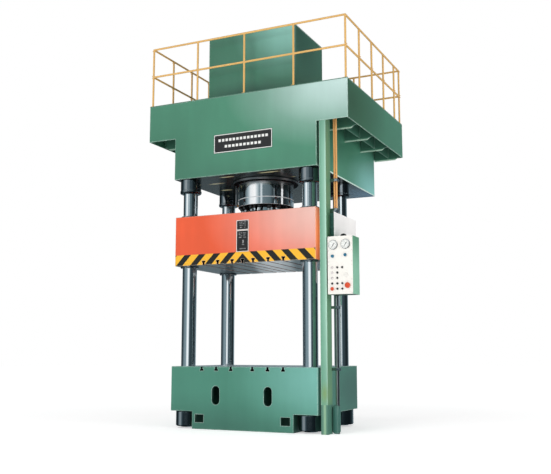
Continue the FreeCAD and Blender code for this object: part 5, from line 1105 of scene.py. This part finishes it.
# Painted highlight: a pale, less metallic patch on the underside, with darker steel round it.
shine_x, shine_y, shine_slant, shine_half = 0.48, -0.76, 0.42, 0.42
from_band = (slide_x + (slide_y - shine_y) * shine_slant - shine_x) / shine_half
lit_patch = (from_band * from_band).ramp((0.0, 1.0), (0.3, 0.72), (1.0, 0.0), ease="EASE") * under
under_colour = overlay(under_colour, ((1 - lit_patch) * 0.4, (0.12, 0.16, 0.18, 1)),
                       (lit_patch, (0.93, 0.97, 1.0, 1)), (in_slots * 0.92, slot_shade))
# A painted glow on the right side stands for light that the guard throws back.
painted_glow = near(place, (slide_high.x, -0.88, 3.05), (0.05, 0.55, 0.9)) * (normal_x > 0.9)
close_finish(place, under.blend(slide_colour, under_colour),
             slide_rough + under * (under_rough - slide_rough),
             relief(under_lines * under, 0.0002, slide_normal), under * (0.9 - lit_patch * 0.55),
             Emission_Color=painted_glow.blend((0, 0, 0, 1), tone(222, 112, 38)), Emission_Strength=1.0)
dress(slide_finish, "slide_block")
dress(nut_finish, "guide_bushes")

bush_low, bush_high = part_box("guide_bushes")
bush_bolts = bmesh.new()
for across in (-1.095, 1.095):
    for along in (-0.67, 0.67):
        for level, up in ((bush_low.z, -1), (bush_high.z, 1)):
            add_bolt_circle(bush_bolts, (across, along, level), (0, 0, up), 0.1375, 8, 0.018)
piece("bush_bolts", bush_bolts, bright_screw, body="slide", angle=40)

worn_grey, place = new_finish("worn_grey_marks")
worn_tint = clouds(place, 0.02, 4).ramp((0.35, 0), (0.65, 1))
close_finish(place, worn_tint.blend(tone(70, 72, 74), tone(176, 178, 178)),
             0.5 + clouds(place, 0.01) * 0.1)
plates_low, plates_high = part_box("slide_plates")
data_plates = (
    ("lower_data_plate", 2.811, 3.159, [
        (0.2, 0.46, 0.86, 0.89), (0.54, 0.8, 0.86, 0.89), (0.2, 0.4, 0.79, 0.82),
        (0.58, 0.76, 0.79, 0.82), (0.24, 0.46, 0.72, 0.75), (0.54, 0.72, 0.72, 0.75),
        (0.2, 0.42, 0.65, 0.68), (0.56, 0.8, 0.65, 0.68), (0.5, 0.6, 0.38, 0.54),
        (0.46, 0.64, 0.31, 0.34), (0.28, 0.76, 0.12, 0.16)]),
    ("upper_data_plate", 3.164, 3.325, [
        (0.22, 0.5, 0.76, 0.82), (0.56, 0.78, 0.76, 0.82), (0.22, 0.44, 0.6, 0.66),
        (0.52, 0.74, 0.6, 0.66), (0.26, 0.54, 0.44, 0.5), (0.6, 0.78, 0.44, 0.5),
        (0.3, 0.46, 0.22, 0.3), (0.66, 0.74, 0.22, 0.3)]),
)
for plate_name, plate_bottom, plate_top, plate_bars in data_plates:
    corner_low = Vector((plates_low.x, plates_low.y, plate_bottom))
    corner_high = Vector((plates_high.x, plates_high.y, plate_top))
    plate_marks(plate_name, (corner_low, corner_high), 0.0, 0.009, plate_bars, "slide", worn_grey)
